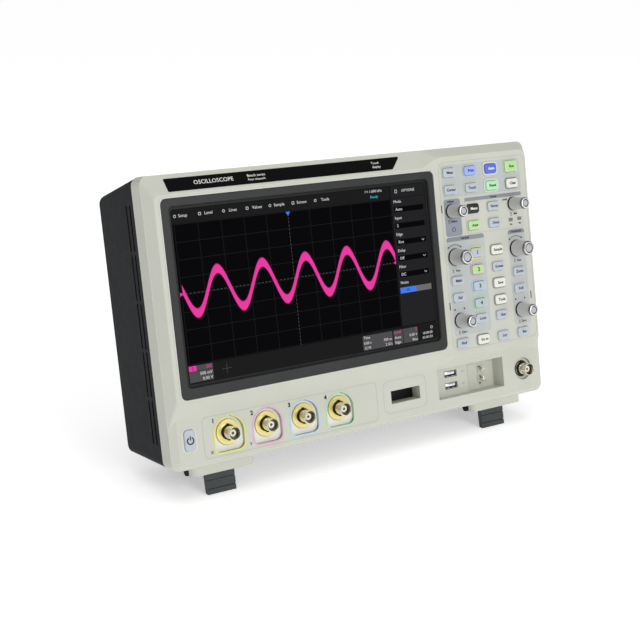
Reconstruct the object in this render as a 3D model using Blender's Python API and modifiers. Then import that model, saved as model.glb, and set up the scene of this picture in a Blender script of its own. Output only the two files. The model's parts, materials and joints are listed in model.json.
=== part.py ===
"""Bench oscilloscope: two housings, display, keys, encoders, connectors, tilt legs, handle and inner units.

Body frame used for every dimension below, in millimetres: X to the right across the instrument from its
middle, Y from the face of the display frame towards the rear, Z up from the underside of the housing.
The whole instrument hangs under one empty that leans it back on its front legs, so that the world frame
has Z up, the table at Z = 0 and the middle of the footprint at X = Y = 0.
"""
import math

import bmesh
import bpy
from mathutils import Matrix, Vector

for old in list(bpy.data.objects):
    bpy.data.objects.remove(old, do_unlink=True)

# ---- driving dimensions (mm) -------------------------------------------------------------------------
MM = 0.001
GAP = 0.3                         # clearance between neighbouring pieces
WELD = 0.001                      # points closer than this are one point
SHARP = math.radians(35.0)        # edges bent more than this stay sharp

TILT = math.radians(10.6)         # lean of the body on its deployed legs
STAND_Y = -61.02                  # brings the middle of the footprint to Y = 0

HALF_W, HEIGHT = 176.0, 213.3     # front housing
HOUSING_BACK = 22.0
SHOULDER_Y = 7.0                  # where the side rim turns into the sloping front
IO_Y = 4.0                        # face of the connector band
WALL = 2.6
IO_BACK = 9.2                     # back of the thick connector-band wall

FRAME = (-164.9, 74.0, 51.9, 195.9)       # display frame: x0, x1, z0, z1
WINDOW = (-159.0, 68.7, 59.8, 190.1)
LCD = (-162.0, 71.6, 55.0, 193.0)

COLS = [89.5, 111.1, 132.7, 154.3]        # key and knob columns
KEY_W, KEY_H, KEY_PROUD = 12.0, 7.6, 1.8

BNC_X = [-128.6 + 32.4 * k for k in range(4)]
BNC_Z = 21.8
WELL_R, WELL_FLOOR = 12.3, 7.0
EXT_X = 154.4

POWER = (-161.1, 21.8, 10.0, 16.5)        # power key: x, z, width, height
SLOT = (17.1, 45.5, 15.8, 26.3)           # logic-probe connector slot
POCKET = (64.1, 133.0, 10.4, 35.5)        # pocket with USB ports and probe lugs
USB = (84.3, (18.5, 28.4))
LUG = (117.2, (18.6, 26.6))

LEG_X, PAD_W = 131.2, 53.0
PAD_FRONT, PAD_BACK, PAD_BOTTOM = 13.0, 19.5, -8.0
LEG_PIVOT = (24.0, -4.5)
LEG_W, LEG_TIP_Y, LEG_TIP_Z = 24.0, 21.0, -25.7
STAND_Z = LEG_TIP_Y * math.sin(TILT) - LEG_TIP_Z * math.cos(TILT)   # the leg tips stand on the table

REAR_FRONT, REAR_BACK = 22.3, 91.5
REAR_HALF = 175.8
REAR_BOTTOM, REAR_TOP = 0.3, 213.0        # at its front edge
TOP_DROP, BOTTOM_RISE = 0.158, 0.04       # taper of the rear housing, per mm towards the rear

HANDLE_PIVOT_Y, HANDLE_DEPTH = 38.0, 5.2
FAN = (90.0, 130.0)                       # fan centre x, z


# ---- scene and object helpers ------------------------------------------------------------------------
def collection(name):
    col = bpy.data.collections.new(name)
    bpy.context.scene.collection.children.link(col)
    return col


PARTS = collection("oscilloscope")
CUTTERS = collection("cutters")

stand = bpy.data.objects.new("stand", None)
stand.location = (0.0, STAND_Y * MM, STAND_Z * MM)
stand.rotation_euler = (-TILT, 0.0, 0.0)
PARTS.objects.link(stand)


# turns a cylinder's own Z onto each axis
ALONG = {"X": Matrix.Rotation(math.pi / 2, 4, "Y"), "Y": Matrix.Rotation(-math.pi / 2, 4, "X"),
         "Z": Matrix.Identity(4)}


def material(name, rgb, rough=0.55, metal=0.0):
    mat = bpy.data.materials.new(name)
    mat.use_nodes = True
    bsdf = mat.node_tree.nodes["Principled BSDF"]
    bsdf.inputs["Base Color"].default_value = (*rgb, 1.0)
    bsdf.inputs["Roughness"].default_value = rough
    bsdf.inputs["Metallic"].default_value = metal
    return mat


def rect(x0, x1, z0, z1):
    return [(x0, z0), (x1, z0), (x1, z1), (x0, z1)]


def rounded(pts, radius, seg=3):
    """Outline with each corner replaced by an arc; radius is one value or one per corner."""
    out, n = [], len(pts)
    radii = radius if isinstance(radius, (list, tuple)) else [radius] * n
    for i, (px, pz) in enumerate(pts):
        ax, az = pts[i - 1][0] - px, pts[i - 1][1] - pz
        bx, bz = pts[(i + 1) % n][0] - px, pts[(i + 1) % n][1] - pz
        la, lb = math.hypot(ax, az), math.hypot(bx, bz)
        ax, az, bx, bz = ax / la, az / la, bx / lb, bz / lb
        half = math.acos(max(-1.0, min(1.0, ax * bx + az * bz))) / 2
        reach = radii[i] / math.tan(half)
        mx, mz = ax + bx, az + bz
        ml = math.hypot(mx, mz)
        if ml < 1e-3:                     # straight run: keep the point count, spread along the edge
            out += [(px + bx * radii[i] * (k / seg - 0.5), pz + bz * radii[i] * (k / seg - 0.5))
                    for k in range(seg + 1)]
            continue
        dist = radii[i] / math.sin(half)
        cx, cz = px + mx / ml * dist, pz + mz / ml * dist
        a0 = math.atan2(pz + az * reach - cz, px + ax * reach - cx)
        a1 = math.atan2(pz + bz * reach - cz, px + bx * reach - cx)
        turn = (a1 - a0 + math.pi) % (2 * math.pi) - math.pi
        for k in range(seg + 1):
            a = a0 + turn * k / seg
            out.append((cx + radii[i] * math.cos(a), cz + radii[i] * math.sin(a)))
    return out


def shape(bm):
    """Finished shape as a loose mesh in millimetres."""
    bm.normal_update()
    bmesh.ops.recalc_face_normals(bm, faces=bm.faces[:])
    mesh = bpy.data.meshes.new("shape")
    bm.to_mesh(mesh)
    bm.free()
    return mesh


def block(x0, x1, y0, y1, z0, z1, radius=0.0, seg=3):
    """Box primitive; with a radius, its four edges along Y are bevelled round."""
    bm = bmesh.new()
    centre = Vector(((x0 + x1) / 2, (y0 + y1) / 2, (z0 + z1) / 2))
    size = Vector((x1 - x0, y1 - y0, z1 - z0))
    bmesh.ops.create_cube(bm, size=1.0, matrix=Matrix.LocRotScale(centre, None, size))
    if radius:
        edges = [e for e in bm.edges if abs((e.verts[1].co - e.verts[0].co).normalized().y) > 0.9]
        bmesh.ops.bevel(bm, geom=edges, offset=radius, segments=seg, profile=0.5, affect="EDGES")
    return shape(bm)


def plate(cx, cz, w, h, y0, y1, radius=0.0, seg=3):
    """Block given by its centre, width and height in the face's plane."""
    return block(cx - w / 2, cx + w / 2, y0, y1, cz - h / 2, cz + h / 2, radius, seg)


def cylinder(axis, u, v, radius, low, high, seg=16):
    """Cylinder primitive along an axis; u and v are its centre in the other two directions."""
    mid = (low + high) / 2
    centre = {"X": (mid, u, v), "Y": (u, mid, v), "Z": (u, v, mid)}[axis]
    bm = bmesh.new()
    bmesh.ops.create_cone(bm, cap_ends=True, segments=seg, radius1=radius, radius2=radius,
                          depth=high - low, matrix=Matrix.Translation(centre) @ ALONG[axis])
    return shape(bm)


def prism(axis, points, low, high):
    """Flat outline with a thickness along an axis: a filled 2D curve, extruded and made a mesh."""
    curve = bpy.data.curves.new("outline", "CURVE")
    curve.dimensions = "2D"
    curve.fill_mode = "BOTH"
    curve.extrude = (high - low) / 2
    spline = curve.splines.new("POLY")
    spline.points.add(len(points) - 1)
    for place, (u, v) in zip(spline.points, points):
        place.co = (u, v, 0.0, 1.0)
    spline.use_cyclic_u = True
    holder = bpy.data.objects.new("outline", curve)
    PARTS.objects.link(holder)
    view = bpy.context.evaluated_depsgraph_get()
    flat = bpy.data.meshes.new_from_object(holder.evaluated_get(view))
    bpy.data.objects.remove(holder, do_unlink=True)
    bm = bmesh.new()
    bm.from_mesh(flat)
    bmesh.ops.remove_doubles(bm, verts=bm.verts[:], dist=WELD)
    for vert in bm.verts:
        u, v, w = vert.co
        w += (low + high) / 2
        vert.co = {"X": (w, u, v), "Y": (u, w, v), "Z": (u, v, w)}[axis]
    return shape(bm)


def loft(sections):
    """Closed skin through unlike sections across Y, for tapered shapes; a section is (outline, y)."""
    bm = bmesh.new()
    rows = [[bm.verts.new((x, y, z)) for x, z in points] for points, y in sections]
    count = len(rows[0])
    for low, high in zip(rows, rows[1:]):
        for i in range(count):
            j = (i + 1) % count
            bm.faces.new((low[i], low[j], high[j], high[i]))
    bm.faces.new(rows[0])
    bm.faces.new(rows[-1])
    return shape(bm)


def put(name, mesh, mat, origin):
    """Object under the stand, with its origin at a point of the body frame; no material makes a cutter."""
    obj = bpy.data.objects.new(name, mesh)
    obj.parent = stand
    obj.location = [o * MM for o in origin]
    (PARTS if mat else CUTTERS).objects.link(obj)
    if mat:
        mesh.materials.append(mat)
    else:
        obj.hide_render = True
        obj.display_type = "WIRE"
    return obj


def solid(name, shapes, mat=None, origin=(0.0, 0.0, 0.0)):
    """One object holding one or more separate closed shapes."""
    bm = bmesh.new()
    for part in shapes:
        bm.from_mesh(part)
        bpy.data.meshes.remove(part)
    bmesh.ops.translate(bm, verts=bm.verts[:], vec=[-o for o in origin])
    bmesh.ops.scale(bm, verts=bm.verts[:], vec=(MM, MM, MM))
    mesh = bpy.data.meshes.new(name)
    bm.to_mesh(mesh)
    bm.free()
    mesh.shade_smooth()
    mesh.set_sharp_from_angle(angle=SHARP)
    return put(name, mesh, mat, origin)


def turned(name, x, z, profile, mat, seg):
    """Turned part about an axis along Y: a (radius, y) profile from back to front with a Screw modifier."""
    mesh = bpy.data.meshes.new(name)
    edges = [(i, i + 1) for i in range(len(profile) - 1)]
    mesh.from_pydata([(r * MM, y * MM, 0.0) for r, y in profile], edges, [])
    obj = put(name, mesh, mat, (x, 0.0, z))
    screw = obj.modifiers.new("turn", "SCREW")
    screw.axis = "Y"
    screw.steps = seg
    screw.render_steps = seg
    screw.use_merge_vertices = True
    screw.merge_threshold = 0.00005
    return obj


def soften(obj, width, seg=1):
    """Bevel the sharp rims of a part; the corners already rounded stay as they are."""
    bevel = obj.modifiers.new("rims", "BEVEL")
    bevel.width = width * MM
    bevel.segments = seg
    bevel.limit_method = "ANGLE"
    bevel.angle_limit = math.radians(60.0)


def boolean(obj, name, shapes, operation="DIFFERENCE", origin=(0.0, 0.0, 0.0), angle=0.0):
    """Cut shapes from obj, or add them to it, as one modifier."""
    tool = solid(name, shapes, origin=origin)
    tool.rotation_euler = (angle, 0.0, 0.0)
    mod = obj.modifiers.new(name, "BOOLEAN")
    mod.operation = operation
    mod.solver = "EXACT"
    mod.object = tool


def rear_top(y):
    return REAR_TOP - TOP_DROP * (y - REAR_FRONT)


def ground(y):
    """Height of the table under the leaning body, in the body frame."""
    return LEG_TIP_Z + (y - LEG_TIP_Y) * math.tan(TILT)


# ---- materials ---------------------------------------------------------------------------------------
M = {
    "housing_plastic": material("housing_plastic", (0.63, 0.63, 0.57), 0.5),
    "case_plastic": material("case_plastic", (0.03, 0.032, 0.036), 0.55),
    "frame_plastic": material("frame_plastic", (0.07, 0.074, 0.07), 0.45),
    "screen_glass": material("screen_glass", (0.01, 0.01, 0.012), 0.15),
    "key_grey": material("key_grey", (0.43, 0.50, 0.55), 0.5),
    "key_white": material("key_white", (0.76, 0.76, 0.70), 0.5),
    "key_lit": material("key_lit", (0.45, 0.78, 0.27), 0.5),
    "key_blue": material("key_blue", (0.10, 0.14, 0.70), 0.5),
    "key_pale_blue": material("key_pale_blue", (0.36, 0.43, 0.86), 0.5),
    "key_pale_green": material("key_pale_green", (0.30, 0.80, 0.36), 0.5),
    "key_black": material("key_black", (0.01, 0.01, 0.01), 0.5),
    "knob_plastic": material("knob_plastic", (0.26, 0.26, 0.25), 0.45),
    "shaft_metal": material("shaft_metal", (0.55, 0.55, 0.56), 0.35, 1.0),
    "gold_metal": material("gold_metal", (0.75, 0.58, 0.20), 0.3, 1.0),
    "nickel_metal": material("nickel_metal", (0.62, 0.61, 0.56), 0.3, 1.0),
    "leg_plastic": material("leg_plastic", (0.045, 0.05, 0.054), 0.6),
    "handle_plastic": material("handle_plastic", (0.035, 0.037, 0.04), 0.55),
    "fan_plastic": material("fan_plastic", (0.015, 0.015, 0.016), 0.5),
    "board_laminate": material("board_laminate", (0.02, 0.16, 0.07), 0.5),
    "cage_steel": material("cage_steel", (0.52, 0.53, 0.54), 0.4, 1.0),
}

# ---- front housing -----------------------------------------------------------------------------------
front = solid("front_housing", [block(-HALF_W, HALF_W, SHOULDER_Y, HOUSING_BACK, 0.0, HEIGHT, 6.5, 4)],
              M["housing_plastic"])

# raised plateau round the display and the controls: corner points at the face and at the shoulder
FACE = [(-169.7, 49.1), (65.0, 49.1), (82.6, 42.6), (171.6, 42.6),
        (171.6, 206.4), (81.4, 206.4), (63.0, 198.9), (-169.7, 198.9)]
FOOT = [(-175.6, 29.0), (65.0, 29.0), (82.6, 33.85), (175.6, 33.85),
        (175.6, 212.9), (81.4, 212.9), (63.0, 212.9), (-175.6, 212.9)]
face_outline = rounded(FACE, [3.5, 12.0, 8.0, 6.0, 5.0, 8.0, 12.0, 3.5])
foot_outline = rounded(FOOT, [4.0, 12.0, 8.0, 6.0, 6.2, 8.0, 12.0, 6.2])
boolean(front, "plateau", [loft([(face_outline, 0.0), (foot_outline, SHOULDER_Y),
                                 (foot_outline, SHOULDER_Y + 3.0)])], "UNION")
band_face = rounded(rect(-170.2, 171.8, 3.3, 52.0), 4.0)
band_foot = rounded(rect(-175.6, 175.6, 0.4, 55.0), 5.8)
boolean(front, "connector_band", [loft([(band_face, IO_Y), (band_foot, SHOULDER_Y),
                                        (band_foot, SHOULDER_Y + 2.0)])], "UNION")
PAD = rounded(rect(-PAD_W / 2, PAD_W / 2, PAD_FRONT, PAD_BACK), [5.5, 5.5, 0.4, 0.4], 4)
boolean(front, "foot_pads", [prism("Z", [(side * LEG_X + x, y) for x, y in PAD], PAD_BOTTOM, 2.0)
                             for side in (-1, 1)], "UNION")

# hollow behind the face, then the full-size hollow behind the shoulder
HOLLOW = [(-167.5, 47.5), (76.0, 47.5), (78.5, 45.2), (171.0, 45.2), (171.0, 203.8), (82.0, 203.8),
          (64.0, 199.2), (-167.5, 199.2)]
boolean(front, "face_hollow", [prism("Y", HOLLOW, WALL, IO_BACK + 0.8)])
boolean(front, "back_hollow", [block(-173.2, 173.2, IO_BACK, HOUSING_BACK + 4.0, 2.8, 210.4, 4.0, 2)])
boolean(front, "connector_sleeves", [
    block(POCKET[0] - 2.6, POCKET[1] + 2.6, IO_BACK - 1.0, 18.4, POCKET[2] - 2.6, POCKET[3] + 2.6),
    block(SLOT[0] - 2.4, SLOT[1] + 2.4, IO_BACK - 1.0, 15.0, SLOT[2] - 2.4, SLOT[3] + 2.4)], "UNION")


# keys: name, x, z, width, height, material
def column(i, rows, names, mat="key_grey"):
    return [(name, COLS[i], z, KEY_W, KEY_H, mat) for name, z in zip(names, rows)]


CHANNEL_ROWS = (126.2, 112.3, 98.6, 84.5, 71.7)
KEYS = (
    column(0, (193.2, 179.3), ("measure", "cursors"))
    + column(0, (105.5, 91.6), ("math", "reference"))
    + column(0, (54.2,), ("search",))
    + column(1, (193.2,), ("print",), "key_pale_blue")
    + column(1, (179.3,), ("touch",))
    + column(1, (162.3,), ("trigger_setup",), "key_black")
    + column(1, (148.6,), ("trigger_auto",), "key_lit")
    + column(1, CHANNEL_ROWS[:1], ("channel_1",))
    + column(1, CHANNEL_ROWS[1:2], ("channel_2",), "key_lit")
    + column(1, CHANNEL_ROWS[2:], ("channel_3", "channel_4", "digital"))
    + column(1, (54.2,), ("navigate",), "key_white")
    + column(2, (193.2,), ("auto_setup",), "key_blue")
    + column(2, (179.3,), ("default_setup",), "key_pale_green")
    + column(2, (162.3, 148.6), ("trigger_normal", "trigger_single"))
    + column(2, (126.2, 98.6, 84.5), ("acquire", "save_recall", "utility"), "key_white")
    + column(2, (112.3, 71.7), ("display", "generator"))
    + column(2, (54.2,), ("history",))
    + column(3, (179.3,), ("clear_sweeps",), "key_white")
    + column(3, (105.4, 91.0), ("zoom", "roll"))
    + column(3, (54.2,), ("decode",))
    + [("run_stop", COLS[3], 193.3, 13.2, 9.6, "key_lit")]
)
KNOBS = [  # name, x, z, skirt radius at the base, radius at the nose
    ("universal", COLS[0], 162.2, 5.7, 5.2), ("trigger_level", COLS[3], 162.2, 5.7, 5.2),
    ("vertical_scale", COLS[0], 125.0, 7.0, 6.5), ("horizontal_scale", COLS[3], 124.8, 7.0, 6.5),
    ("vertical_position", COLS[0], 73.0, 6.2, 5.3), ("horizontal_position", COLS[3], 73.0, 6.2, 5.3),
]


def well(cx, r, seg=12):
    """Outline of a connector well: round top, straight sides, rounded lower corners."""
    top = BNC_Z - 0.3
    arc = [(cx + r * math.cos(math.pi * k / seg), top + r * math.sin(math.pi * k / seg))
           for k in range(seg + 1)]
    corners = rounded([(cx - r, 7.9), (cx + r, 7.9), (cx + r, top), (cx - r, top)], [3.0, 3.0, 0.1, 0.1])
    return arc + corners[:8]


def frame_plate(grow, y0, y1, radius):
    return block(FRAME[0] - grow, FRAME[1] + grow, y0, y1, FRAME[2] - grow, FRAME[3] + grow, radius)


px, pz, pw, ph = POWER
cuts = [frame_plate(GAP, -1.0, 3.4, 4.3)]
cuts += [plate(x, z, w + 2 * GAP, h + 2 * GAP, -1.0, 3.4, 1.8, 2) for _, x, z, w, h, _ in KEYS]
cuts += [cylinder("Y", x, z, 4.1, -1.0, 3.4) for _, x, z, _, _ in KNOBS]
cuts += [prism("Y", well(x, WELL_R), 2.5, WELL_FLOOR) for x in BNC_X]
cuts += [cylinder("Y", EXT_X, BNC_Z, 9.4, 2.5, WELL_FLOOR, 24),
         plate(px, pz, pw + 2 * GAP, ph + 2 * GAP, 2.5, 10.0, 3.2),
         block(SLOT[0], SLOT[1], 2.5, 16.0, SLOT[2], SLOT[3]),
         prism("Z", [(POCKET[0], 2.5), (POCKET[1], 2.5), (131.6, 16.0), (102.4, 16.0), (102.4, 13.2),
                     (POCKET[0], 13.2)], POCKET[2], POCKET[3])]
boolean(front, "face_openings", cuts)
boolean(front, "connector_holes",
        [cylinder("Y", x, BNC_Z, 6.3, 6.0, 10.2, 20) for x in BNC_X + [EXT_X]]
        + [plate(USB[0], z, 14.0, 6.6, 12.0, 19.5) for z in USB[1]]
        + [cylinder("Y", LUG[0], z, 1.6, 15.0, 19.5, 12) for z in LUG[1]])

# ---- display -----------------------------------------------------------------------------------------
frame = solid("display_frame", [frame_plate(0.0, 0.0, 2.4, 4.0)], M["frame_plastic"])


def window(grow):
    return rounded(rect(WINDOW[0] - grow, WINDOW[1] + grow, WINDOW[2] - grow, WINDOW[3] + grow), 3.0)


boolean(frame, "frame_window", [loft([(window(0.8), -0.6), (window(0.0), 1.0), (window(0.0), 3.0)])])
solid("display_panel", [block(LCD[0], LCD[1], 2.7, 9.0, LCD[2], LCD[3])], M["screen_glass"])


# ---- keys --------------------------------------------------------------------------------------------
def key(name, x, z, w, h, mat, face, seat, radius, seg):
    """Cap from its face back to a wider flange that rests behind the housing's wall."""
    cap = solid("key_" + name, [plate(x, z, w, h, face, seat + 0.7, radius, seg)], M[mat], (x, 0.0, z))
    soften(cap, 0.5)
    boolean(cap, name + "_flange", [plate(x, z, w + 2.0, h + 2.0, seat, seat + 1.0, radius, seg)], "UNION")


for name, x, z, w, h, mat in KEYS:
    key(name, x, z, w, h, mat, -KEY_PROUD, WALL + GAP, 1.5, 1)
key("power", px, pz, pw, ph, "key_grey", 2.6, IO_BACK + GAP, 3.0, 2)

# ---- encoders and knobs ------------------------------------------------------------------------------
KNOB_BACK, KNOB_NOSE = -1.2, -16.8
SHAFT_R, SHAFT_TIP = 2.95, -13.0
for name, x, z, r0, r1 in KNOBS:
    turned("plunger_" + name, x, z, [
        (0.0, 10.6), (4.6, 10.6), (4.6, 9.4), (SHAFT_R, 9.4), (SHAFT_R, SHAFT_TIP), (0.0, SHAFT_TIP)],
        M["shaft_metal"], 12)
    turned("knob_" + name, x, z, [
        (0.0, SHAFT_TIP - GAP), (SHAFT_R + GAP, SHAFT_TIP - GAP), (SHAFT_R + GAP, KNOB_BACK), (r0, KNOB_BACK),
        (r0, -2.4), ((r0 + r1) / 2, -4.6), (r1, KNOB_NOSE + 0.9), (r1 - 0.7, KNOB_NOSE), (0.0, KNOB_NOSE)],
        M["knob_plastic"], 20)


# ---- connectors --------------------------------------------------------------------------------------
def bnc(name, cx, mat, flange):
    """Panel coaxial connector: flange in the well, bayonet barrel forward, threaded body to the rear."""
    seat = WELL_FLOOR - GAP
    obj = turned(name, cx, BNC_Z, [
        (0.0, 17.5), (1.2, 17.5), (1.2, 14.6), (5.9, 14.0), (5.9, seat), (flange, seat), (flange, 5.9),
        (4.8, 5.7), (4.8, -4.8), (4.1, -4.8), (4.1, 2.2), (2.5, 2.2), (2.5, -3.6), (0.9, -3.6), (0.9, 0.5),
        (0.0, 0.5)], mat, 20)
    for side in (-1, 1):
        ends = sorted((cx + side * 4.4, cx + side * 5.8))
        boolean(obj, "%s_lug_%d" % (name, side), [cylinder("X", -1.4, BNC_Z, 1.0, *ends, 8)], "UNION")


for k, x in enumerate(BNC_X):
    bnc("bnc_channel_%d" % (k + 1), x, M["gold_metal"], 9.75)
bnc("bnc_external", EXT_X, M["nickel_metal"], 7.6)

# ---- tilt legs ---------------------------------------------------------------------------------------
PY, PZ = LEG_PIVOT
LEG_PIN_R = 1.6
for side, sx in (("left", -1), ("right", 1)):
    cx = sx * LEG_X
    tip = LEG_TIP_Y + 4.0
    leg = solid("tilt_leg_" + side, [prism(
        "X", [(LEG_TIP_Y, LEG_TIP_Z), (tip, ground(tip)), (PY + 2.4, PZ), (PY - 2.2, PZ)],
        cx - LEG_W / 2, cx + LEG_W / 2)], M["leg_plastic"], (cx, PY, PZ))
    boolean(leg, "barrel_" + side, [cylinder("X", PY, PZ, 3.2, cx - 22.8, cx + 22.8)], "UNION")
    boolean(leg, "pins_" + side, [
        cylinder("X", PY, PZ, LEG_PIN_R, cx + a, cx + b, 12)
        for a, b in ((22.0, 25.2), (-25.2, -22.0))], "UNION")
    boolean(leg, "grooves_" + side, [
        prism("X", [(PY - 4.4, z), (PY - 1.7, z), (PY - 2.0, z - 0.9), (PY - 4.4, z - 0.9)],
              cx - 13.0, cx + 13.0) for z in (-14.3, -21.0)])


# ---- rear housing ------------------------------------------------------------------------------------
def rear_section(y, inset, corner, seg=4):
    sides, bottom = REAR_HALF - inset, REAR_BOTTOM + BOTTOM_RISE * (y - REAR_FRONT)
    return rounded(rect(-sides, sides, bottom + inset, rear_top(y) - inset), corner, seg), y


rear = solid("rear_housing", [loft([
    rear_section(REAR_FRONT, 0.0, 6.0), rear_section(86.6, 0.4, 6.5), rear_section(90.0, 1.9, 6.0),
    rear_section(REAR_BACK, 5.0, 4.0)])], M["case_plastic"])
boolean(rear, "rear_hollow", [loft([rear_section(y, WALL, 4.0, 2) for y in (20.0, 88.9)])])


def slope(y, depth):
    return (y, rear_top(y) - depth)


boolean(rear, "handle_trough", [prism(
    "X", [slope(27.5, 1.2), slope(27.5, 17.8), slope(82.0, 17.8), slope(82.0, 1.2)], -87.0, 87.0)], "UNION")
boolean(rear, "handle_recess", [prism(
    "X", [slope(30.0, -3.0), slope(30.0, 15.2), slope(79.4, 15.2), slope(79.4, -3.0)], -84.0, 84.0)])
HANDLE_PIN_R = 2.5
pivot = (HANDLE_PIVOT_Y, rear_top(HANDLE_PIVOT_Y) - HANDLE_DEPTH)
boolean(rear, "handle_pivot_holes", [
    cylinder("X", *pivot, HANDLE_PIN_R + GAP, *span) for span in ((-86.0, -83.5), (83.5, 86.0))])

EAR = [(REAR_FRONT + 0.1, 2.0), (REAR_FRONT + 0.1, -0.4), (PY - 3.4, -1.4), (PY - 3.4, -5.2),
       (PY - 1.6, -8.2), (PY + 1.6, -8.2), (PY + 3.4, -5.2), (PY + 3.4, 2.0)]
FOOT_SIDE = [(76.0, 4.0), (76.0, ground(76.0)), (90.0, ground(90.0)), (90.0, 4.0)]
ears = []
for sx in (-1, 1):
    cx = sx * LEG_X
    ears += [prism("X", EAR, cx + a, cx + b) for a, b in ((23.2, 27.0), (-27.0, -23.2))]
    ears.append(prism("X", FOOT_SIDE, cx - 11.0, cx + 11.0))
boolean(rear, "ears_and_feet", ears, "UNION")
boolean(rear, "ear_holes", [
    cylinder("X", PY, PZ, LEG_PIN_R + GAP, sx * LEG_X + a, sx * LEG_X + b, 12)
    for sx in (-1, 1) for a, b in ((22.6, 25.6), (-25.6, -22.6))])

fx, fz = FAN
vents = []
for sx in (-1, 1):
    for y in (29.0, 35.4):
        for k in range(5):
            z = 18.0 + 35.6 * k
            vents.append(block(sx * 174.0 - 3.5, sx * 174.0 + 3.5, y - 1.1, y + 1.1, z, z + 33.0))
for k in range(-4, 5):
    reach = math.sqrt(27.5 ** 2 - (6.0 * k) ** 2)
    vents.append(block(fx + 6.0 * k - 1.6, fx + 6.0 * k + 1.6, 87.5, 93.0, fz - reach, fz + reach))
for k in range(8):
    x = -150.0 + 12.0 * k
    vents += [block(x, x + 8.0, 87.5, 93.0, z, z + 3.0) for z in (120.0, 128.0)]
boolean(rear, "vents", vents)

INLET = (-150.0, -121.6, 45.4, 66.2)
REAR_PORTS = [  # x, z, width, height of the network, device and host sockets on the main board
    (-20.0, 16.4, 16.4, 13.6), (8.0, 15.2, 12.4, 11.2), (34.0, 12.0, 14.0, 6.2)]
REAR_BNC = (60.0, 18.0)
boolean(rear, "rear_sockets",
        [block(*INLET[:2], 87.5, 93.0, *INLET[2:])]
        + [plate(x, z, w + 2 * GAP, h + 2 * GAP, 87.5, 93.0) for x, z, w, h in REAR_PORTS]
        + [cylinder("Y", *REAR_BNC, 5.4, 87.5, 93.0, 20)])

# ---- carry handle ------------------------------------------------------------------------------------
hy, hz = pivot
GRIP = rounded([(-82.8, -4.6), (-70.0, -4.6), (-70.0, 24.0), (70.0, 24.0), (70.0, -4.6), (82.8, -4.6),
                (82.8, 38.0), (-82.8, 38.0)], [3.0, 3.0, 5.0, 5.0, 3.0, 3.0, 9.0, 9.0])
handle = solid("carry_handle", [prism("Z", [(x, hy + y) for x, y in GRIP], hz - 4.0, hz + 4.0)],
               M["handle_plastic"], (0.0, hy, hz))
handle.rotation_euler = (-math.atan(TOP_DROP), 0.0, 0.0)
boolean(handle, "handle_pins", [
    cylinder("X", hy, hz, HANDLE_PIN_R, *span) for span in ((-85.6, -78.0), (78.0, 85.6))],
    "UNION", (0.0, hy, hz), -math.atan(TOP_DROP))

# ---- cooling fan -------------------------------------------------------------------------------------
fan = solid("fan_frame", [plate(fx, fz, 60.0, 60.0, 73.4, 88.4, 3.0, 2)], M["fan_plastic"])
boolean(fan, "fan_duct", [cylinder("Y", fx, fz, 28.4, 72.0, 90.0, 32)])
boolean(fan, "fan_strut_a", [plate(fx, fz, 58.8, 2.8, 86.2, 88.2)], "UNION")
boolean(fan, "fan_strut_b", [plate(fx, fz, 2.8, 58.8, 86.3, 88.1)], "UNION")
boolean(fan, "fan_hub_disc", [cylinder("Y", fx, fz, 10.0, 85.6, 88.0, 20)], "UNION")
boolean(fan, "fan_shaft", [cylinder("Y", fx, fz, 1.5, 79.0, 87.0, 12)], "UNION")


def fan_blade(turn):
    """Thin block from the hub outwards, pitched about its own length."""
    pose = (Matrix.Translation((fx, 80.0, fz)) @ Matrix.Rotation(turn, 4, "Y")
            @ Matrix.Translation((18.3, 0.0, 0.0)) @ Matrix.Rotation(0.7, 4, "X"))
    bm = bmesh.new()
    bmesh.ops.create_cube(bm, size=1.0, matrix=pose @ Matrix.Diagonal((18.2, 1.6, 11.0, 1.0)))
    return shape(bm)


rotor = turned("fan_rotor", fx, fz, [(0.0, 85.0), (11.0, 85.0), (11.0, 76.0), (9.6, 74.8), (0.0, 74.8)],
               M["fan_plastic"], 28)
boolean(rotor, "fan_blades", [fan_blade(2 * math.pi * k / 7) for k in range(7)], "UNION")
boolean(rotor, "fan_bore", [cylinder("Y", fx, fz, 1.5 + GAP, 78.4, 86.0, 12)])

# ---- boards and power supply -------------------------------------------------------------------------
keypad = solid("keypad_board", [block(80.6, 167.4, 5.4, 7.0, 47.0, 202.6)], M["board_laminate"])
boolean(keypad, "encoder_cases", [plate(x, z, 13.0, 13.0, 6.4, 14.4) for _, x, z, _, _ in KNOBS], "UNION")
boolean(keypad, "encoder_bores", [cylinder("Y", x, z, 3.4, 4.0, 12.6, 12) for _, x, z, _, _ in KNOBS])
boolean(keypad, "encoder_chambers", [cylinder("Y", x, z, 5.0, 8.9, 12.6, 12) for _, x, z, _, _ in KNOBS])

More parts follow.
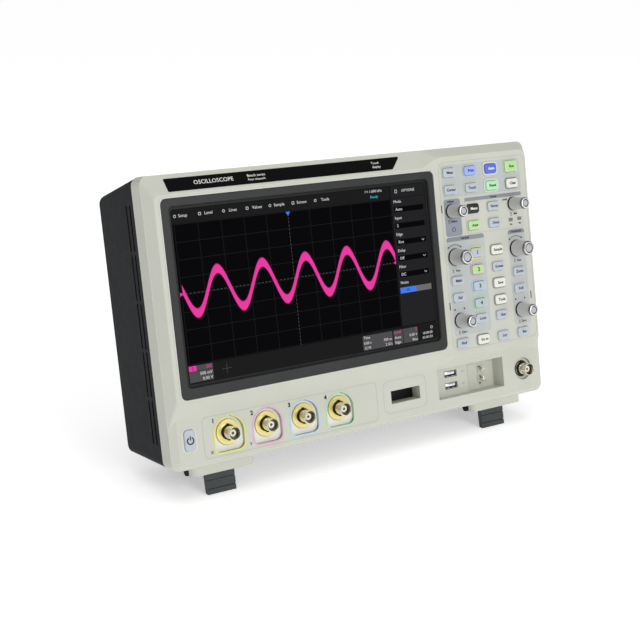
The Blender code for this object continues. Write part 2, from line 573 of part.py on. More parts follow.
board = solid("main_board", [block(-150.0, 150.0, 19.2, 84.0, 6.0, 7.6)], M["board_laminate"])
boolean(board, "board_parts", [
    block(USB[0] - 7.6, USB[0] + 7.6, 18.8, 32.0, 7.0, 32.4),
    block(SLOT[0] + 1.5, SLOT[1] - 1.5, 16.4, 27.0, 7.0, 25.6),
    block(LUG[0] - 3.0, LUG[0] + 3.0, 20.0, 26.0, 7.0, 30.0),
    block(-142.0, -18.0, 26.0, 58.0, 7.0, 20.0)]
    + [block(x - w / 2 - 1.0, x + w / 2 + 1.0, 70.0, 86.0, 7.0, z + h / 2 + 1.0) for x, z, w, h in REAR_PORTS]
    + [block(REAR_BNC[0] - 8.0, REAR_BNC[0] + 8.0, 70.0, 86.0, 7.0, 25.6)], "UNION")
boolean(board, "spigots", [cylinder("Y", *REAR_BNC, 4.8, 85.0, 99.0, 20)]
        + [plate(USB[0], z, 13.4, 6.0, 13.6, 20.0) for z in USB[1]]
        + [plate(x, z, w, h, 84.0, 91.2) for x, z, w, h in REAR_PORTS]
        + [cylinder("Y", LUG[0], z, 1.2, 11.0, 21.0, 12) for z in LUG[1]], "UNION")
boolean(board, "mouths", [plate(USB[0], z, 12.2, 4.8, 12.0, 24.0) for z in USB[1]]
        + [plate(x, z, w - 1.6, h - 1.8, 80.0, 93.0) for x, z, w, h in REAR_PORTS]
        + [cylinder("Y", *REAR_BNC, 4.0, 92.0, 101.0)])

supply = solid("power_supply", [block(-158.0, -58.0, 40.0, 80.6, 34.0, 92.0)], M["cage_steel"])
boolean(supply, "inlet_body", [
    block(INLET[0] + GAP, INLET[1] - GAP, 79.6, 91.3, INLET[2] + GAP, INLET[3] - GAP)], "UNION")
boolean(supply, "tray_hollow", [block(-156.4, -59.6, 36.0, 79.0, 35.6, 90.4)])
boolean(supply, "inlet_cavity", [
    block(INLET[0] + 2.2, INLET[1] - 2.2, 81.0, 93.0, INLET[2] + 2.4, INLET[3] - 2.4)])
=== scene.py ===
import json
import math

import bmesh
import bpy
from mathutils import Matrix, Vector


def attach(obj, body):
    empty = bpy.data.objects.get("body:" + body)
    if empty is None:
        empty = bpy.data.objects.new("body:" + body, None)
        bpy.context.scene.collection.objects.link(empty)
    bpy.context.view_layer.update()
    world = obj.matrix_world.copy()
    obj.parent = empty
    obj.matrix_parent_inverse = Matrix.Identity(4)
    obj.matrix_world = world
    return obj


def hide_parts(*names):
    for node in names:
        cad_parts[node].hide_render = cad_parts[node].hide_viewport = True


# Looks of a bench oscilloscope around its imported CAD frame. Sizes are millimetres in the leaning body's own
# frame: X right from the middle, Y from the display frame's face to the rear, Z up from the underside.
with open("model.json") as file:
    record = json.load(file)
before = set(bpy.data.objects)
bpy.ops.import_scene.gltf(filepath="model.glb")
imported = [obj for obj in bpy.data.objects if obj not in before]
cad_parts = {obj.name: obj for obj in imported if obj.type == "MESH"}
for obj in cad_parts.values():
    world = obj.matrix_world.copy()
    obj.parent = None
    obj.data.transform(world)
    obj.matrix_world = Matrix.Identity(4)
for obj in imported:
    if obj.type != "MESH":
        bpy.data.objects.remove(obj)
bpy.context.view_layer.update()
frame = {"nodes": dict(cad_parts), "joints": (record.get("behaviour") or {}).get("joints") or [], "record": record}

# ---- body frame, from the joints' places ---------------------------------------------------------------
MM = 0.001
JOINTS = {joint["name"]: joint for joint in frame["joints"]}
REARWARD = Vector(JOINTS["spin_fan"]["axis"])
LEAN = Matrix.Rotation(math.atan2(REARWARD.z, REARWARD.y), 4, "X")
LEG_PIVOT = Vector((-131.2, 24.0, -4.5))           # of the left leg
BODY = (Matrix.Translation(JOINTS["fold_leg_left"]["pos_m"]) @ LEAN @ Matrix.Scale(MM, 4)
        @ Matrix.Translation(-LEG_PIVOT))
INVERSE = BODY.inverted()

# planes to draw on: U to the right, V up the plane, W out of it
FACE = Matrix.Rotation(math.pi / 2, 4, "X")
SLOPE_FOOT = 198.9                                 # where the top slope leaves the face
TOP_SLOPE = Matrix.Translation((0.0, 0.0, SLOPE_FOOT)) @ Matrix.Rotation(math.atan2(2.0, 1.0), 4, "X")
REAR_Y = 91.5                                      # back of the rear housing
REAR = Matrix.Translation((0.0, REAR_Y, 0.0)) @ Matrix.Rotation(math.pi, 4, "Z") @ FACE
INK = 0.05                                         # thickness of print
SHARP = math.radians(32.0)                         # edges over this angle stay sharp
RIM = math.radians(28.0)                           # and edges over this one are softened

# ---- layout of the front -------------------------------------------------------------------------------
DISPLAY_FRAME = (-164.9, 74.0, 51.9, 195.9)        # x0, x1, z0, z1
BAND_Y = 4.0                                       # face of the connector band
BNC_Z = 21.8                                       # axes of the connectors
BNC_X = [-128.6 + 32.4 * k for k in range(4)]
EXT_X = 154.4                                      # the one on the right
KNOBS = {                                          # radii at the foot and at the nose
    "universal": (5.4, 4.85), "trigger_level": (5.4, 4.85),
    "vertical_scale": (6.75, 6.1), "horizontal_scale": (6.75, 6.1),
    "vertical_position": (5.95, 5.0), "horizontal_position": (5.95, 5.0),
}


# ---- colours and materials -----------------------------------------------------------------------------
def srgb(*rgb):
    """Linear colour from 0 to 255 display values."""
    return [c / 255 / 12.92 if c / 255 <= 0.04045 else ((c / 255 + 0.055) / 1.055) ** 2.4 for c in rgb]


PATCH, WEAR, GRAIN_DEPTH = 24.0, 7.0, 0.1          # sizes of colour patches and wear, depth of the grain
COAT_ROUGH = 0.12


def surface(name, rgb, rough, metal=0.0, grain=0.2, grain_size=0.25, tint=0.05, spread=0.08,
            stretch=(1, 1, 1), coat=0.0, glow=0.0, shine=0.5):
    """Principled material with mottled colour, uneven roughness and a fine grain, all from noise."""
    mat = bpy.data.materials.new(name)
    mat.use_nodes = True
    nodes, links = mat.node_tree.nodes, mat.node_tree.links
    shader = nodes["Principled BSDF"]
    shader.inputs["Metallic"].default_value = metal
    shader.inputs["Specular IOR Level"].default_value = shine
    shader.inputs["Coat Weight"].default_value = coat
    shader.inputs["Coat Roughness"].default_value = COAT_ROUGH
    where = nodes.new("ShaderNodeTexCoord")
    place = nodes.new("ShaderNodeMapping")
    place.inputs["Scale"].default_value = stretch
    links.new(where.outputs["Object"], place.inputs["Vector"])

    def noise(size, detail):
        node = nodes.new("ShaderNodeTexNoise")
        node.inputs["Scale"].default_value = 1.0 / (size * MM)
        node.inputs["Detail"].default_value = detail
        links.new(place.outputs["Vector"], node.inputs["Vector"])
        return node

    patches = noise(PATCH, 3.0)
    ramp = nodes.new("ShaderNodeValToRGB")
    ramp.color_ramp.elements[0].position = 0.3
    ramp.color_ramp.elements[1].position = 0.7
    ramp.color_ramp.elements[0].color = (*[c * (1 - tint) for c in rgb], 1.0)
    ramp.color_ramp.elements[1].color = (*[min(1.0, c * (1 + tint)) for c in rgb], 1.0)
    links.new(patches.outputs["Fac"], ramp.inputs["Fac"])
    links.new(ramp.outputs["Color"], shader.inputs["Base Color"])
    wear = noise(WEAR, 4.0)
    uneven = nodes.new("ShaderNodeMapRange")
    uneven.inputs["To Min"].default_value = max(0.02, rough - spread)
    uneven.inputs["To Max"].default_value = min(1.0, rough + spread)
    links.new(wear.outputs["Fac"], uneven.inputs["Value"])
    links.new(uneven.outputs["Result"], shader.inputs["Roughness"])
    fine = noise(grain_size, 2.0)
    bump = nodes.new("ShaderNodeBump")
    bump.inputs["Strength"].default_value = grain
    bump.inputs["Distance"].default_value = GRAIN_DEPTH * MM
    links.new(fine.outputs["Fac"], bump.inputs["Height"])
    links.new(bump.outputs["Normal"], shader.inputs["Normal"])
    if glow:
        shader.inputs["Emission Color"].default_value = (*rgb, 1.0)
        shader.inputs["Emission Strength"].default_value = glow
    return mat


HOUSING = surface("housing_plastic", srgb(194, 195, 184), 0.5,
                  grain=0.3, grain_size=0.5, tint=0.015, shine=0.35)
CASE = surface("case_plastic", srgb(32, 34, 36), 0.55, grain=0.4, grain_size=0.7, tint=0.08, shine=0.05)
BEZEL = surface("frame_plastic", srgb(50, 52, 51), 0.42, grain=0.25, grain_size=0.5, tint=0.06, shine=0.2)
GLASS = surface("screen_glass", srgb(6, 6, 8), 0.14, grain=0.02, grain_size=3.0, spread=0.05, shine=0.15)
LEG = surface("leg_plastic", srgb(58, 62, 64), 0.55, grain=0.5, grain_size=0.6, tint=0.1, shine=0.3)
HANDLE = surface("handle_plastic", srgb(46, 48, 51), 0.5, grain=0.5, grain_size=0.6, tint=0.1, shine=0.3)
FAN = surface("fan_plastic", srgb(24, 24, 26), 0.42, grain=0.2, grain_size=0.6, tint=0.1, shine=0.3)
LAMINATE = surface("board_laminate", srgb(30, 104, 60), 0.4, grain=0.5, grain_size=1.2, tint=0.15, coat=0.3)
STEEL = surface("cage_steel", srgb(190, 192, 194), 0.34, 1.0, grain=0.25, grain_size=0.5, stretch=(1, 1, 6))
SHAFT = surface("shaft_metal", srgb(190, 190, 192), 0.3, 1.0, grain=0.3, grain_size=0.3, stretch=(1, 8, 1))
GOLD = surface("gold_metal", srgb(228, 213, 144), 0.34, 1.0,
               grain=0.03, grain_size=0.3, tint=0.03, spread=0.04)
BRASS = surface("brass_pin", srgb(128, 98, 44), 0.4, 1.0, grain=0.05, tint=0.08)
# dark metal that paints the shade inside a connector's barrel
BARREL_SHADE = surface("barrel_inside", srgb(92, 88, 68), 0.3, 1.0, grain=0.04, tint=0.05)
NICKEL = surface("nickel_metal", srgb(222, 217, 200), 0.22, 1.0,
                 grain=0.04, grain_size=0.3, tint=0.04, spread=0.05)
CHROME = surface("chrome_trim", srgb(236, 236, 238), 0.3, 1.0,
                 grain=0.03, grain_size=0.6, tint=0.02, spread=0.05)
BEVEL = surface("bevel_metal", srgb(128, 128, 130), 0.28, 1.0,
                grain=0.05, grain_size=0.5, tint=0.03, spread=0.05)
KNOB = surface("knob_plastic", srgb(188, 188, 187), 0.36, grain=0.2, grain_size=0.4, tint=0.03)
KNOB_CAP = surface("knob_cap", srgb(174, 176, 180), 0.36, grain=0.2, grain_size=0.4, tint=0.03)
WHITE = surface("white_insulator", srgb(236, 235, 228), 0.4, grain=0.15, tint=0.02)
BLACK = surface("black_plastic", srgb(14, 14, 15), 0.45, grain=0.25, tint=0.1, shine=0.25)
GLOSS_BLACK = surface("black_strip", srgb(9, 9, 10), 0.3, grain=0.05, grain_size=2.0, shine=0.08)
PRINT = surface("dark_print", srgb(30, 31, 34), 0.6, grain=0.1, tint=0.04, shine=0.2)
ENGRAVED = surface("engraved_line", srgb(172, 173, 162), 0.6, grain=0.2, tint=0.03)
PALE_RING = surface("pale_ring", srgb(204, 206, 198), 0.5, grain=0.2, tint=0.02)
# paler copy of the housing plastic: painted light on the shaded floors of the connector wells
WELL_LIT = surface("well_plastic_lit", srgb(222, 223, 214), 0.5, grain=0.2, grain_size=0.5, tint=0.015, shine=0.35)
PANEL = surface("panel_grey", srgb(178, 183, 181), 0.55, grain=0.2, grain_size=0.5, tint=0.03)
PANEL_BLUE = surface("panel_blue_grey", srgb(136, 142, 152), 0.55, grain=0.2, grain_size=0.5, tint=0.03)
LAMP = surface("lamp_grey", srgb(112, 118, 122), 0.4, grain=0.1, tint=0.05)
HEADER = surface("header_grey", srgb(130, 136, 144), 0.55, grain=0.2, grain_size=0.5, tint=0.03)
KEYS = {
    "key_grey": surface("key_grey", srgb(178, 186, 195), 0.42, tint=0.02),
    "key_white": surface("key_white", srgb(222, 222, 212), 0.42, tint=0.02),
    "key_lit": surface("key_lit", srgb(172, 208, 148), 0.4, tint=0.03, glow=0.06),
    "key_blue": surface("key_blue", srgb(80, 104, 206), 0.4, tint=0.03),
    "key_pale_blue": surface("key_pale_blue", srgb(150, 170, 228), 0.4, tint=0.02),
    "key_pale_green": surface("key_pale_green", srgb(168, 226, 174), 0.4, tint=0.02),
    "key_black": surface("key_black", srgb(24, 24, 26), 0.36, tint=0.1),
}
RINGS = [surface("ring_%d" % (k + 1), srgb(*rgb), 0.45, grain=0.1, tint=0.03)
         for k, rgb in enumerate([(216, 218, 86), (214, 158, 196), (170, 204, 228), (168, 214, 174)])]


def light(name, rgb):
    """Lit area of the display: black glass that glows in one colour, with finger-marked gloss."""
    mat = surface(name, srgb(6, 6, 8), 0.16, grain=0.01, grain_size=3.0, spread=0.07)
    shader = mat.node_tree.nodes["Principled BSDF"]
    shader.inputs["Specular IOR Level"].default_value = 0.02
    shader.inputs["Emission Color"].default_value = (*srgb(*rgb), 1.0)
    shader.inputs["Emission Strength"].default_value = 1.0
    return mat


UI_BAR = light("ui_bar", (25, 25, 25))
UI_PANEL = light("ui_panel", (32, 32, 33))
UI_BOX = light("ui_box", (76, 76, 78))
UI_FIELD = light("ui_field", (0, 0, 0))
UI_GRID = light("ui_grid", (38, 38, 38))
UI_DASH = light("ui_dash", (92, 92, 92))
UI_OFF = light("ui_off", (108, 108, 108))
UI_WHITE = light("ui_white", (214, 214, 216))
UI_BLUE = light("ui_blue", (66, 124, 236))
UI_CYAN = light("ui_cyan", (64, 180, 194))
UI_PINK = light("ui_pink", (232, 60, 160))
UI_DEEP_PINK = light("ui_deep_pink", (188, 22, 118))


# ---- outlines ------------------------------------------------------------------------------------------
def rect(x0, x1, z0, z1, grow=0.0):
    x0, x1, z0, z1 = x0 - grow, x1 + grow, z0 - grow, z1 + grow
    return [(x0, z0), (x1, z0), (x1, z1), (x0, z1)]


def rounded(points, radii, seg=5):
    """Outline with every corner replaced by an arc, of one radius or of its own."""
    out, count = [], len(points)
    if isinstance(radii, (int, float)):
        radii = [radii] * count
    for i, corner in enumerate(points):
        here = Vector(corner)
        before = (Vector(points[i - 1]) - here).normalized()
        after = (Vector(points[(i + 1) % count]) - here).normalized()
        radius, half = radii[i], before.angle(after) / 2
        centre = here + (before + after).normalized() * radius / math.sin(half)
        first = here + before * radius / math.tan(half) - centre
        last = here + after * radius / math.tan(half) - centre
        start = math.atan2(first.y, first.x)
        turn = (math.atan2(last.y, last.x) - start + math.pi) % (2 * math.pi) - math.pi
        out += [(centre.x + radius * math.cos(start + turn * k / seg),
                 centre.y + radius * math.sin(start + turn * k / seg)) for k in range(seg + 1)]
    return out


def circle(x, z, radius, seg=32):
    return [(x + radius * math.cos(2 * math.pi * k / seg), z + radius * math.sin(2 * math.pi * k / seg))
            for k in range(seg)]


def arc_band(x, z, radius, width, start, end, seg=16):
    """Closed outline of a band along an arc, angles in degrees."""
    angles = [math.radians(start + (end - start) * k / seg) for k in range(seg + 1)]
    outer = [(x + (radius + width / 2) * math.cos(a), z + (radius + width / 2) * math.sin(a)) for a in angles]
    inner = [(x + (radius - width / 2) * math.cos(a), z + (radius - width / 2) * math.sin(a)) for a in angles]
    return outer + inner[::-1]


def arch(x, radius, floor, seg=20):
    """Outline of a connector well: round top, straight sides, rounded lower corners."""
    top = BNC_Z - 0.3
    curve = [(x + radius * math.cos(math.pi * k / seg), top + radius * math.sin(math.pi * k / seg))
             for k in range(seg + 1)]
    corners = rounded([(x - radius, floor), (x + radius, floor), (x + radius, top), (x - radius, top)],
                      [radius - 8.4, radius - 6.6, 1.0, 1.0], 7)
    return curve + corners[:16]


# ---- meshes --------------------------------------------------------------------------------------------
def done(bm):
    bm.normal_update()
    bmesh.ops.recalc_face_normals(bm, faces=bm.faces[:])
    mesh = bpy.data.meshes.new("piece")
    bm.to_mesh(mesh)
    bm.free()
    return mesh


def join(meshes):
    bm = bmesh.new()
    for mesh in meshes:
        bm.from_mesh(mesh)
        bpy.data.meshes.remove(mesh)
    mesh = bpy.data.meshes.new("piece")
    bm.to_mesh(mesh)
    bm.free()
    return mesh


def as_mesh(data):
    """Mesh of a curve or text datablock."""
    holder = bpy.data.objects.new("holder", data)
    bpy.context.scene.collection.objects.link(holder)
    view = bpy.context.evaluated_depsgraph_get()
    mesh = bpy.data.meshes.new_from_object(holder.evaluated_get(view))
    bpy.data.objects.remove(holder, do_unlink=True)
    return mesh


def flat(loops, low, high, plane=FACE):
    """Plate between two heights over a plane; the loops after the first are its holes."""
    curve = bpy.data.curves.new("outline", "CURVE")
    curve.dimensions = "2D"
    curve.fill_mode = "BOTH"
    curve.extrude = (high - low) / 2
    for loop in loops:
        spline = curve.splines.new("POLY")
        spline.points.add(len(loop) - 1)
        for point, (u, v) in zip(spline.points, loop):
            point.co = (u, v, 0.0, 1.0)
        spline.use_cyclic_u = True
    mesh = as_mesh(curve)
    mesh.transform(plane @ Matrix.Translation((0.0, 0.0, (low + high) / 2)))
    bm = bmesh.new()
    bm.from_mesh(mesh)
    bmesh.ops.remove_doubles(bm, verts=bm.verts[:], dist=0.001)
    return done(bm)


def ring(outline_at, width, low, high, plane=FACE):
    """Closed line of a width; outline_at(grow) gives the outline at a growth."""
    return flat([outline_at(width / 2), outline_at(-width / 2)], low, high, plane)


def block(x0, x1, y0, y1, z0, z1, radius=0.0, seg=2):
    bm = bmesh.new()
    centre = Vector(((x0 + x1) / 2, (y0 + y1) / 2, (z0 + z1) / 2))
    size = Vector((x1 - x0, y1 - y0, z1 - z0))
    bmesh.ops.create_cube(bm, size=1.0, matrix=Matrix.LocRotScale(centre, None, size))
    if radius:
        bmesh.ops.bevel(bm, geom=bm.edges[:], offset=radius, segments=seg, profile=0.5, affect="EDGES")
    return done(bm)


def turned(x, z, profile, seg=48):
    """Solid of revolution about an axis along Y, from a (radius, y) profile."""
    bm = bmesh.new()
    verts = [bm.verts.new((x + r, y, z)) for r, y in profile]
    edges = [bm.edges.new(pair) for pair in zip(verts, verts[1:])]
    bmesh.ops.spin(bm, geom=verts + edges, cent=(x, 0.0, z), axis=(0.0, 1.0, 0.0), angle=2 * math.pi,
                   steps=seg, use_merge=True)
    bmesh.ops.remove_doubles(bm, verts=bm.verts[:], dist=0.0005)
    return done(bm)


def rod(start, end, radius, seg=16):
    """Cylinder between two points."""
    start, end = Vector(start), Vector(end)
    along = end - start
    bm = bmesh.new()
    bmesh.ops.create_cone(bm, cap_ends=True, segments=seg, radius1=radius, radius2=radius, depth=along.length,
                          matrix=Matrix.Translation((start + end) / 2)
                          @ along.to_track_quat("Z", "Y").to_matrix().to_4x4())
    return done(bm)


CROWN = 0.12                                       # a cap's middle stands this proud of its rim


def cushion_block(cx, cz, w, h, face, back, radius, edge):
    """Key cap: rounded outline with a softened rim and a face that is slightly crowned."""
    rings = [(0.0, back), (0.0, face + edge)]
    rings += [(edge * (1 - math.cos(a)), face + edge * (1 - math.sin(a)))
              for a in (math.pi / 6, math.pi / 3, math.pi / 2)]
    rings += [(edge + 1.4, face - CROWN)]
    bm = bmesh.new()
    rows = []
    for inset, y in rings:
        loop = rounded(rect(cx - w / 2, cx + w / 2, cz - h / 2, cz + h / 2, -inset),
                       max(0.35, radius - inset), 5)
        rows.append([bm.verts.new((u, y, v)) for u, v in loop])
    for low, high in zip(rows, rows[1:]):
        for i in range(len(low)):
            j = (i + 1) % len(low)
            bm.faces.new((low[i], low[j], high[j], high[i]))
    bm.faces.new(rows[0])
    bm.faces.new(rows[-1])
    return done(bm)


def letters(rows, rise=0.0, plane=FACE, weight=0.02):
    """Raised print; a row is (text, u, v, size) with an optional side it is set from."""
    meshes = []
    for text, u, v, size, *side in rows:
        font = bpy.data.curves.new("print", "FONT")
        font.body = text
        font.size = size
        font.align_x = side[0] if side else "CENTER"
        font.align_y = "CENTER"
        font.resolution_u = 2
        font.extrude = INK / 2
        font.offset = weight * size
        mesh = as_mesh(font)
        mesh.transform(plane @ Matrix.Translation((u, v, rise + INK / 2)))
        meshes.append(mesh)
    return join(meshes)


def add(name, meshes, mat, body="chassis", replaces=(), soften=0.0):
    """A piece of the object: meshes in the body frame, placed in the row frame and put on a CAD body."""
    mesh = join(meshes)
    mesh.name = name
    mesh.transform(BODY)
    mesh.materials.append(mat)
    mesh.shade_smooth()
    mesh.set_sharp_from_angle(angle=SHARP)
    obj = bpy.data.objects.new(name, mesh)
    bpy.context.scene.collection.objects.link(obj)
    if soften:
        round_rims(obj, soften)
    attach(obj, body)
    if replaces:
        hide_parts(*replaces)
    return obj


def round_rims(obj, width, seg=2):
    bevel = obj.modifiers.new("soft_rims", "BEVEL")
    bevel.width = width * MM
    bevel.segments = seg
    bevel.limit_method = "ANGLE"
    bevel.angle_limit = RIM
    bevel.harden_normals = True
    bevel.use_clamp_overlap = True


def dress(node, mat, soften=0.0, seg=2):
    """Keep a CAD node's shape, with a finished material and softened rims."""
    obj = frame["nodes"][node]
    obj.data.materials.clear()
    obj.data.materials.append(mat)
    obj.data.shade_smooth()
    obj.data.set_sharp_from_angle(angle=SHARP)
    if soften:
        round_rims(obj, soften, seg)
    return obj


# ---- kept CAD nodes ------------------------------------------------------------------------------------
dress("front_housing", HOUSING, 0.7)
dress("rear_housing", CASE, 0.6)
dress("display_frame", BEZEL, 0.35)
dress("display_panel", GLASS)
dress("carry_handle", HANDLE, 1.2, 3)
dress("tilt_leg_left", LEG, 0.5)
dress("tilt_leg_right", LEG, 0.5)
dress("fan_frame", FAN, 0.4)
dress("fan_rotor", FAN, 0.3)
dress("keypad_board", LAMINATE)
dress("main_board", LAMINATE)
dress("power_supply", STEEL)
for knob_name in KNOBS:
    dress("plunger_" + knob_name, SHAFT)


# ---- trim on the front housing -------------------------------------------------------------------------
STRIP_RISE = 0.25                                  # the black strip stands this proud of the slope
BAND_LINE = (-BAND_Y - 0.1, -BAND_Y + 0.06)        # heights of a line on the band, and on the face
FACE_LINE = (-0.1, 0.06)


def housing_trim():
    strip = [(-158.5, 209.9), (-157.2, 200.5), (36.4, 200.5), (46.4, 209.9)]
    slant = math.sqrt(1.25)                        # length along the slope for one of height
    strip = [(x, (z - SLOPE_FOOT) * slant) for x, z in strip]
    add("blank_strip", [flat([rounded(strip, 0.8, 3)], -0.1, STRIP_RISE, TOP_SLOPE)], GLOSS_BLACK)
    lines = [
        ring(lambda g: rounded(rect(-150.0, 3.5, 5.5, 36.2, g), 3.6), 0.35, *BAND_LINE),
        ring(lambda g: rounded(rect(10.0, 51.6, 8.7, 34.6, g), 5.0), 0.35, *BAND_LINE),
        ring(lambda g: rounded(rect(80.0, 170.0, 48.6, 201.8, g), 6.0), 0.4, *FACE_LINE),
        ring(lambda g: rounded(rect(103.9, 164.0, 142.2, 171.0, g), 3.2), 0.3, *FACE_LINE),
    ]
    add("panel_lines", lines, ENGRAVED)
    # pale raised ring round the display frame: a painted highlight along the housing's rim
    lip = ring(lambda g: rounded(rect(*DISPLAY_FRAME, 0.9 + g), 4.9 + g), 0.8, -0.1, 0.4)
    add("frame_lip_highlight", [lip], PALE_RING, soften=0.2)
    for k, x in enumerate(BNC_X):
        edge = flat([arch(x, 13.25, 7.0), arch(x, 12.2, 8.05)], -BAND_Y - 0.2, -BAND_Y + 0.22)
        add("channel_ring_%d" % (k + 1), [edge], RINGS[k], soften=0.08)
    numbers = [(str(k + 1), x - 12.4, 32.3, 4.4) for k, x in enumerate(BNC_X)]
    add("channel_numbers", [letters(numbers, -BAND_Y, weight=0.05)], PRINT)
    # pale floors in the connector wells: painted light where the recess lies in shade
    wells = [flat([arch(x, 12.1, 8.2), circle(x, BNC_Z, 9.95)], -6.75, -6.6) for x in BNC_X]
    add("well_floors", wells, WELL_LIT)
    axes = [("X", BNC_X[0] - 15.5, 9.4, 3.4), ("Y", BNC_X[1] - 15.5, 9.4, 3.4)]
    add("axis_letters", [letters(axes, -BAND_Y)], PRINT)
    rows = [("OSCILLOSCOPE", -136.0, 7.2, 4.6, "LEFT"), ("Bench series", -92.0, 8.4, 3.0, "LEFT"),
            ("Four channels", -92.0, 5.2, 2.6, "LEFT"), ("Touch", 22.0, 8.6, 2.9), ("display", 22.0, 5.2, 2.9)]
    add("strip_words", [letters(rows, STRIP_RISE, TOP_SLOPE, 0.0)], WHITE)


# ---- control panel graphics ----------------------------------------------------------------------------
KEY_CORNER = 1.9                                   # radius of a cap's corners
FIELD_RISE = 0.08                                  # thickness of a printed field
MARK = (0.06, 0.16)                                # heights of a printed mark
PUSH_AT = [(86.6, 153.8), (151.6, 153.7), (86.4, 113.6), (151.6, 114.4), (87.6, 62.9), (151.8, 62.9)]
SLITS = [(80.1, 164.6), (80.1, 85.6), (166.5, 84.0)]
LAMP_AT = [(150.8, 149.1), (160.3, 149.3)]


def node_outline(node, grow):
    """Rounded outline of a key's cap on the face, from its CAD box."""
    x, z, w, h = key_place(node)
    return rounded(rect(x - w / 2, x + w / 2, z - h / 2, z + h / 2, grow), KEY_CORNER + grow, 4)


def key_place(node):
    """Middle x and z, width and height of a key's cap."""
    spots = [INVERSE @ v.co for v in frame["nodes"][node].data.vertices]
    front = min(p.y for p in spots)
    cap = [p for p in spots if p.y < front + 0.75]     # leaves out the wider flange behind
    xs, zs = [p.x for p in cap], [p.z for p in cap]
    return (min(xs) + max(xs)) / 2, (min(zs) + max(zs)) / 2, max(xs) - min(xs), max(zs) - min(zs)


PANEL_KEYS = sorted(n for n in frame["nodes"] if n.startswith("key_") and n != "key_power")
KNOB_AT = {name: INVERSE @ Vector(JOINTS["turn_" + name]["pos_m"]) for name in KNOBS}


def graphic(name, x0, x1, z0, z1, mat, radii):
    """Printed field with holes where keys and knobs come through it."""
    holes = []
    for node in PANEL_KEYS:
        x, z, _, _ = key_place(node)
        if x0 < x < x1 and z0 < z < z1:
            holes.append(node_outline(node, 0.35))
    for at in KNOB_AT.values():
        if x0 < at.x < x1 and z0 < at.z < z1:
            holes.append(circle(at.x, at.z, 4.1))
    add(name, [flat([rounded(rect(x0, x1, z0, z1), radii, 4)] + holes, -0.1, FIELD_RISE)], mat)


def arrowed(x, z, radius, start, end):
    """Arc that ends in two arrowheads, angles in degrees."""
    parts = [flat([arc_band(x, z, radius, 0.45, start + 6, end - 6)], *MARK)]
    for angle, along in ((start, -1), (end, 1)):
        a = math.radians(angle)
        tip = Vector((x + radius * math.cos(a), z + radius * math.sin(a)))
        ahead = Vector((-math.sin(a), math.cos(a))) * along
        side = Vector((math.cos(a), math.sin(a)))
        parts.append(flat([[tuple(tip), tuple(tip - ahead * 1.7 + side * 0.8),
                            tuple(tip - ahead * 1.7 - side * 0.8)]], *MARK))
    return parts


def panel_graphics():
    top = [0.3, 0.3, 2.4, 2.4]
    foot = [2.8, 2.8, 0.3, 0.3]
    graphic("field_top", 82.5, 164.3, 173.3, 199.5, PANEL, 1.0)
    graphic("field_universal", 82.5, 99.2, 141.8, 172.0, PANEL_BLUE, 2.2)
    graphic("header_trigger", 103.9, 164.0, 168.5, 171.5, HEADER, [0.3, 0.3, 1.0, 1.0])
    graphic("field_vertical", 82.0, 121.0, 60.6, 137.6, PANEL, foot)
    graphic("header_vertical", 82.0, 121.0, 137.6, 141.2, HEADER, top)
    graphic("field_horizontal", 146.4, 164.4, 60.4, 137.2, PANEL, foot)
    graphic("header_horizontal", 146.4, 164.4, 137.2, 140.8, HEADER, top)
    add("header_words", [letters([
        ("Adjust", 89.5, 170.0, 2.5), ("Trigger", 134.0, 170.0, 2.5), ("Vertical", 101.0, 139.4, 2.7),
        ("Horizontal", 155.4, 139.0, 2.6), ("Level", 145.9, 166.4, 2.4), ("Select", 91.6, 153.8, 2.6),
        ("Mid", 156.4, 153.7, 2.4), ("Fine", 91.4, 113.6, 2.6), ("Fine", 156.5, 114.4, 2.6),
        ("Zero", 92.6, 63.0, 2.6), ("Zero", 156.6, 63.0, 2.6), ("On", 150.8, 145.2, 2.1),
        ("Hit", 160.3, 145.4, 2.1)], FIELD_RISE, weight=0.03)], PRINT)
    marks = []
    at = KNOB_AT["vertical_scale"]
    marks += arrowed(at.x, at.z, 10.0, 44, 134)
    at = KNOB_AT["horizontal_scale"]
    marks += arrowed(at.x, at.z, 10.4, 46, 136)
    for knob in ("vertical_position", "horizontal_position"):
        at = KNOB_AT[knob]
        marks += [flat([circle(at.x + side * 4.9, at.z + 9.2, 0.75, 14)], *MARK) for side in (-1, 1)]
    for x, z in PUSH_AT:
        marks.append(ring(lambda g: circle(x, z + 0.6, 0.6 + g, 12), 0.3, *MARK))
        marks.append(flat([rect(x - 0.8, x + 0.8, z - 1.2, z - 0.8)], *MARK))
    marks.append(ring(lambda g: circle(90.7, 147.3, 1.6 + g, 20), 0.4, *MARK))
    add("panel_marks", marks, PRINT)
    slits = [flat([rounded(rect(x - 0.45, x + 0.45, z - 3.1, z + 3.1), 0.3, 3)], -0.05, 0.07)
             for x, z in SLITS]
    add("panel_slits", slits, BLACK)
    lamps = [flat([rounded(rect(x - 2.2, x + 2.2, z - 1.4, z + 1.4), 0.4, 3)], 0.0, 0.14)
             for x, z in LAMP_AT]
    add("status_lamps", lamps, LAMP, soften=0.05)


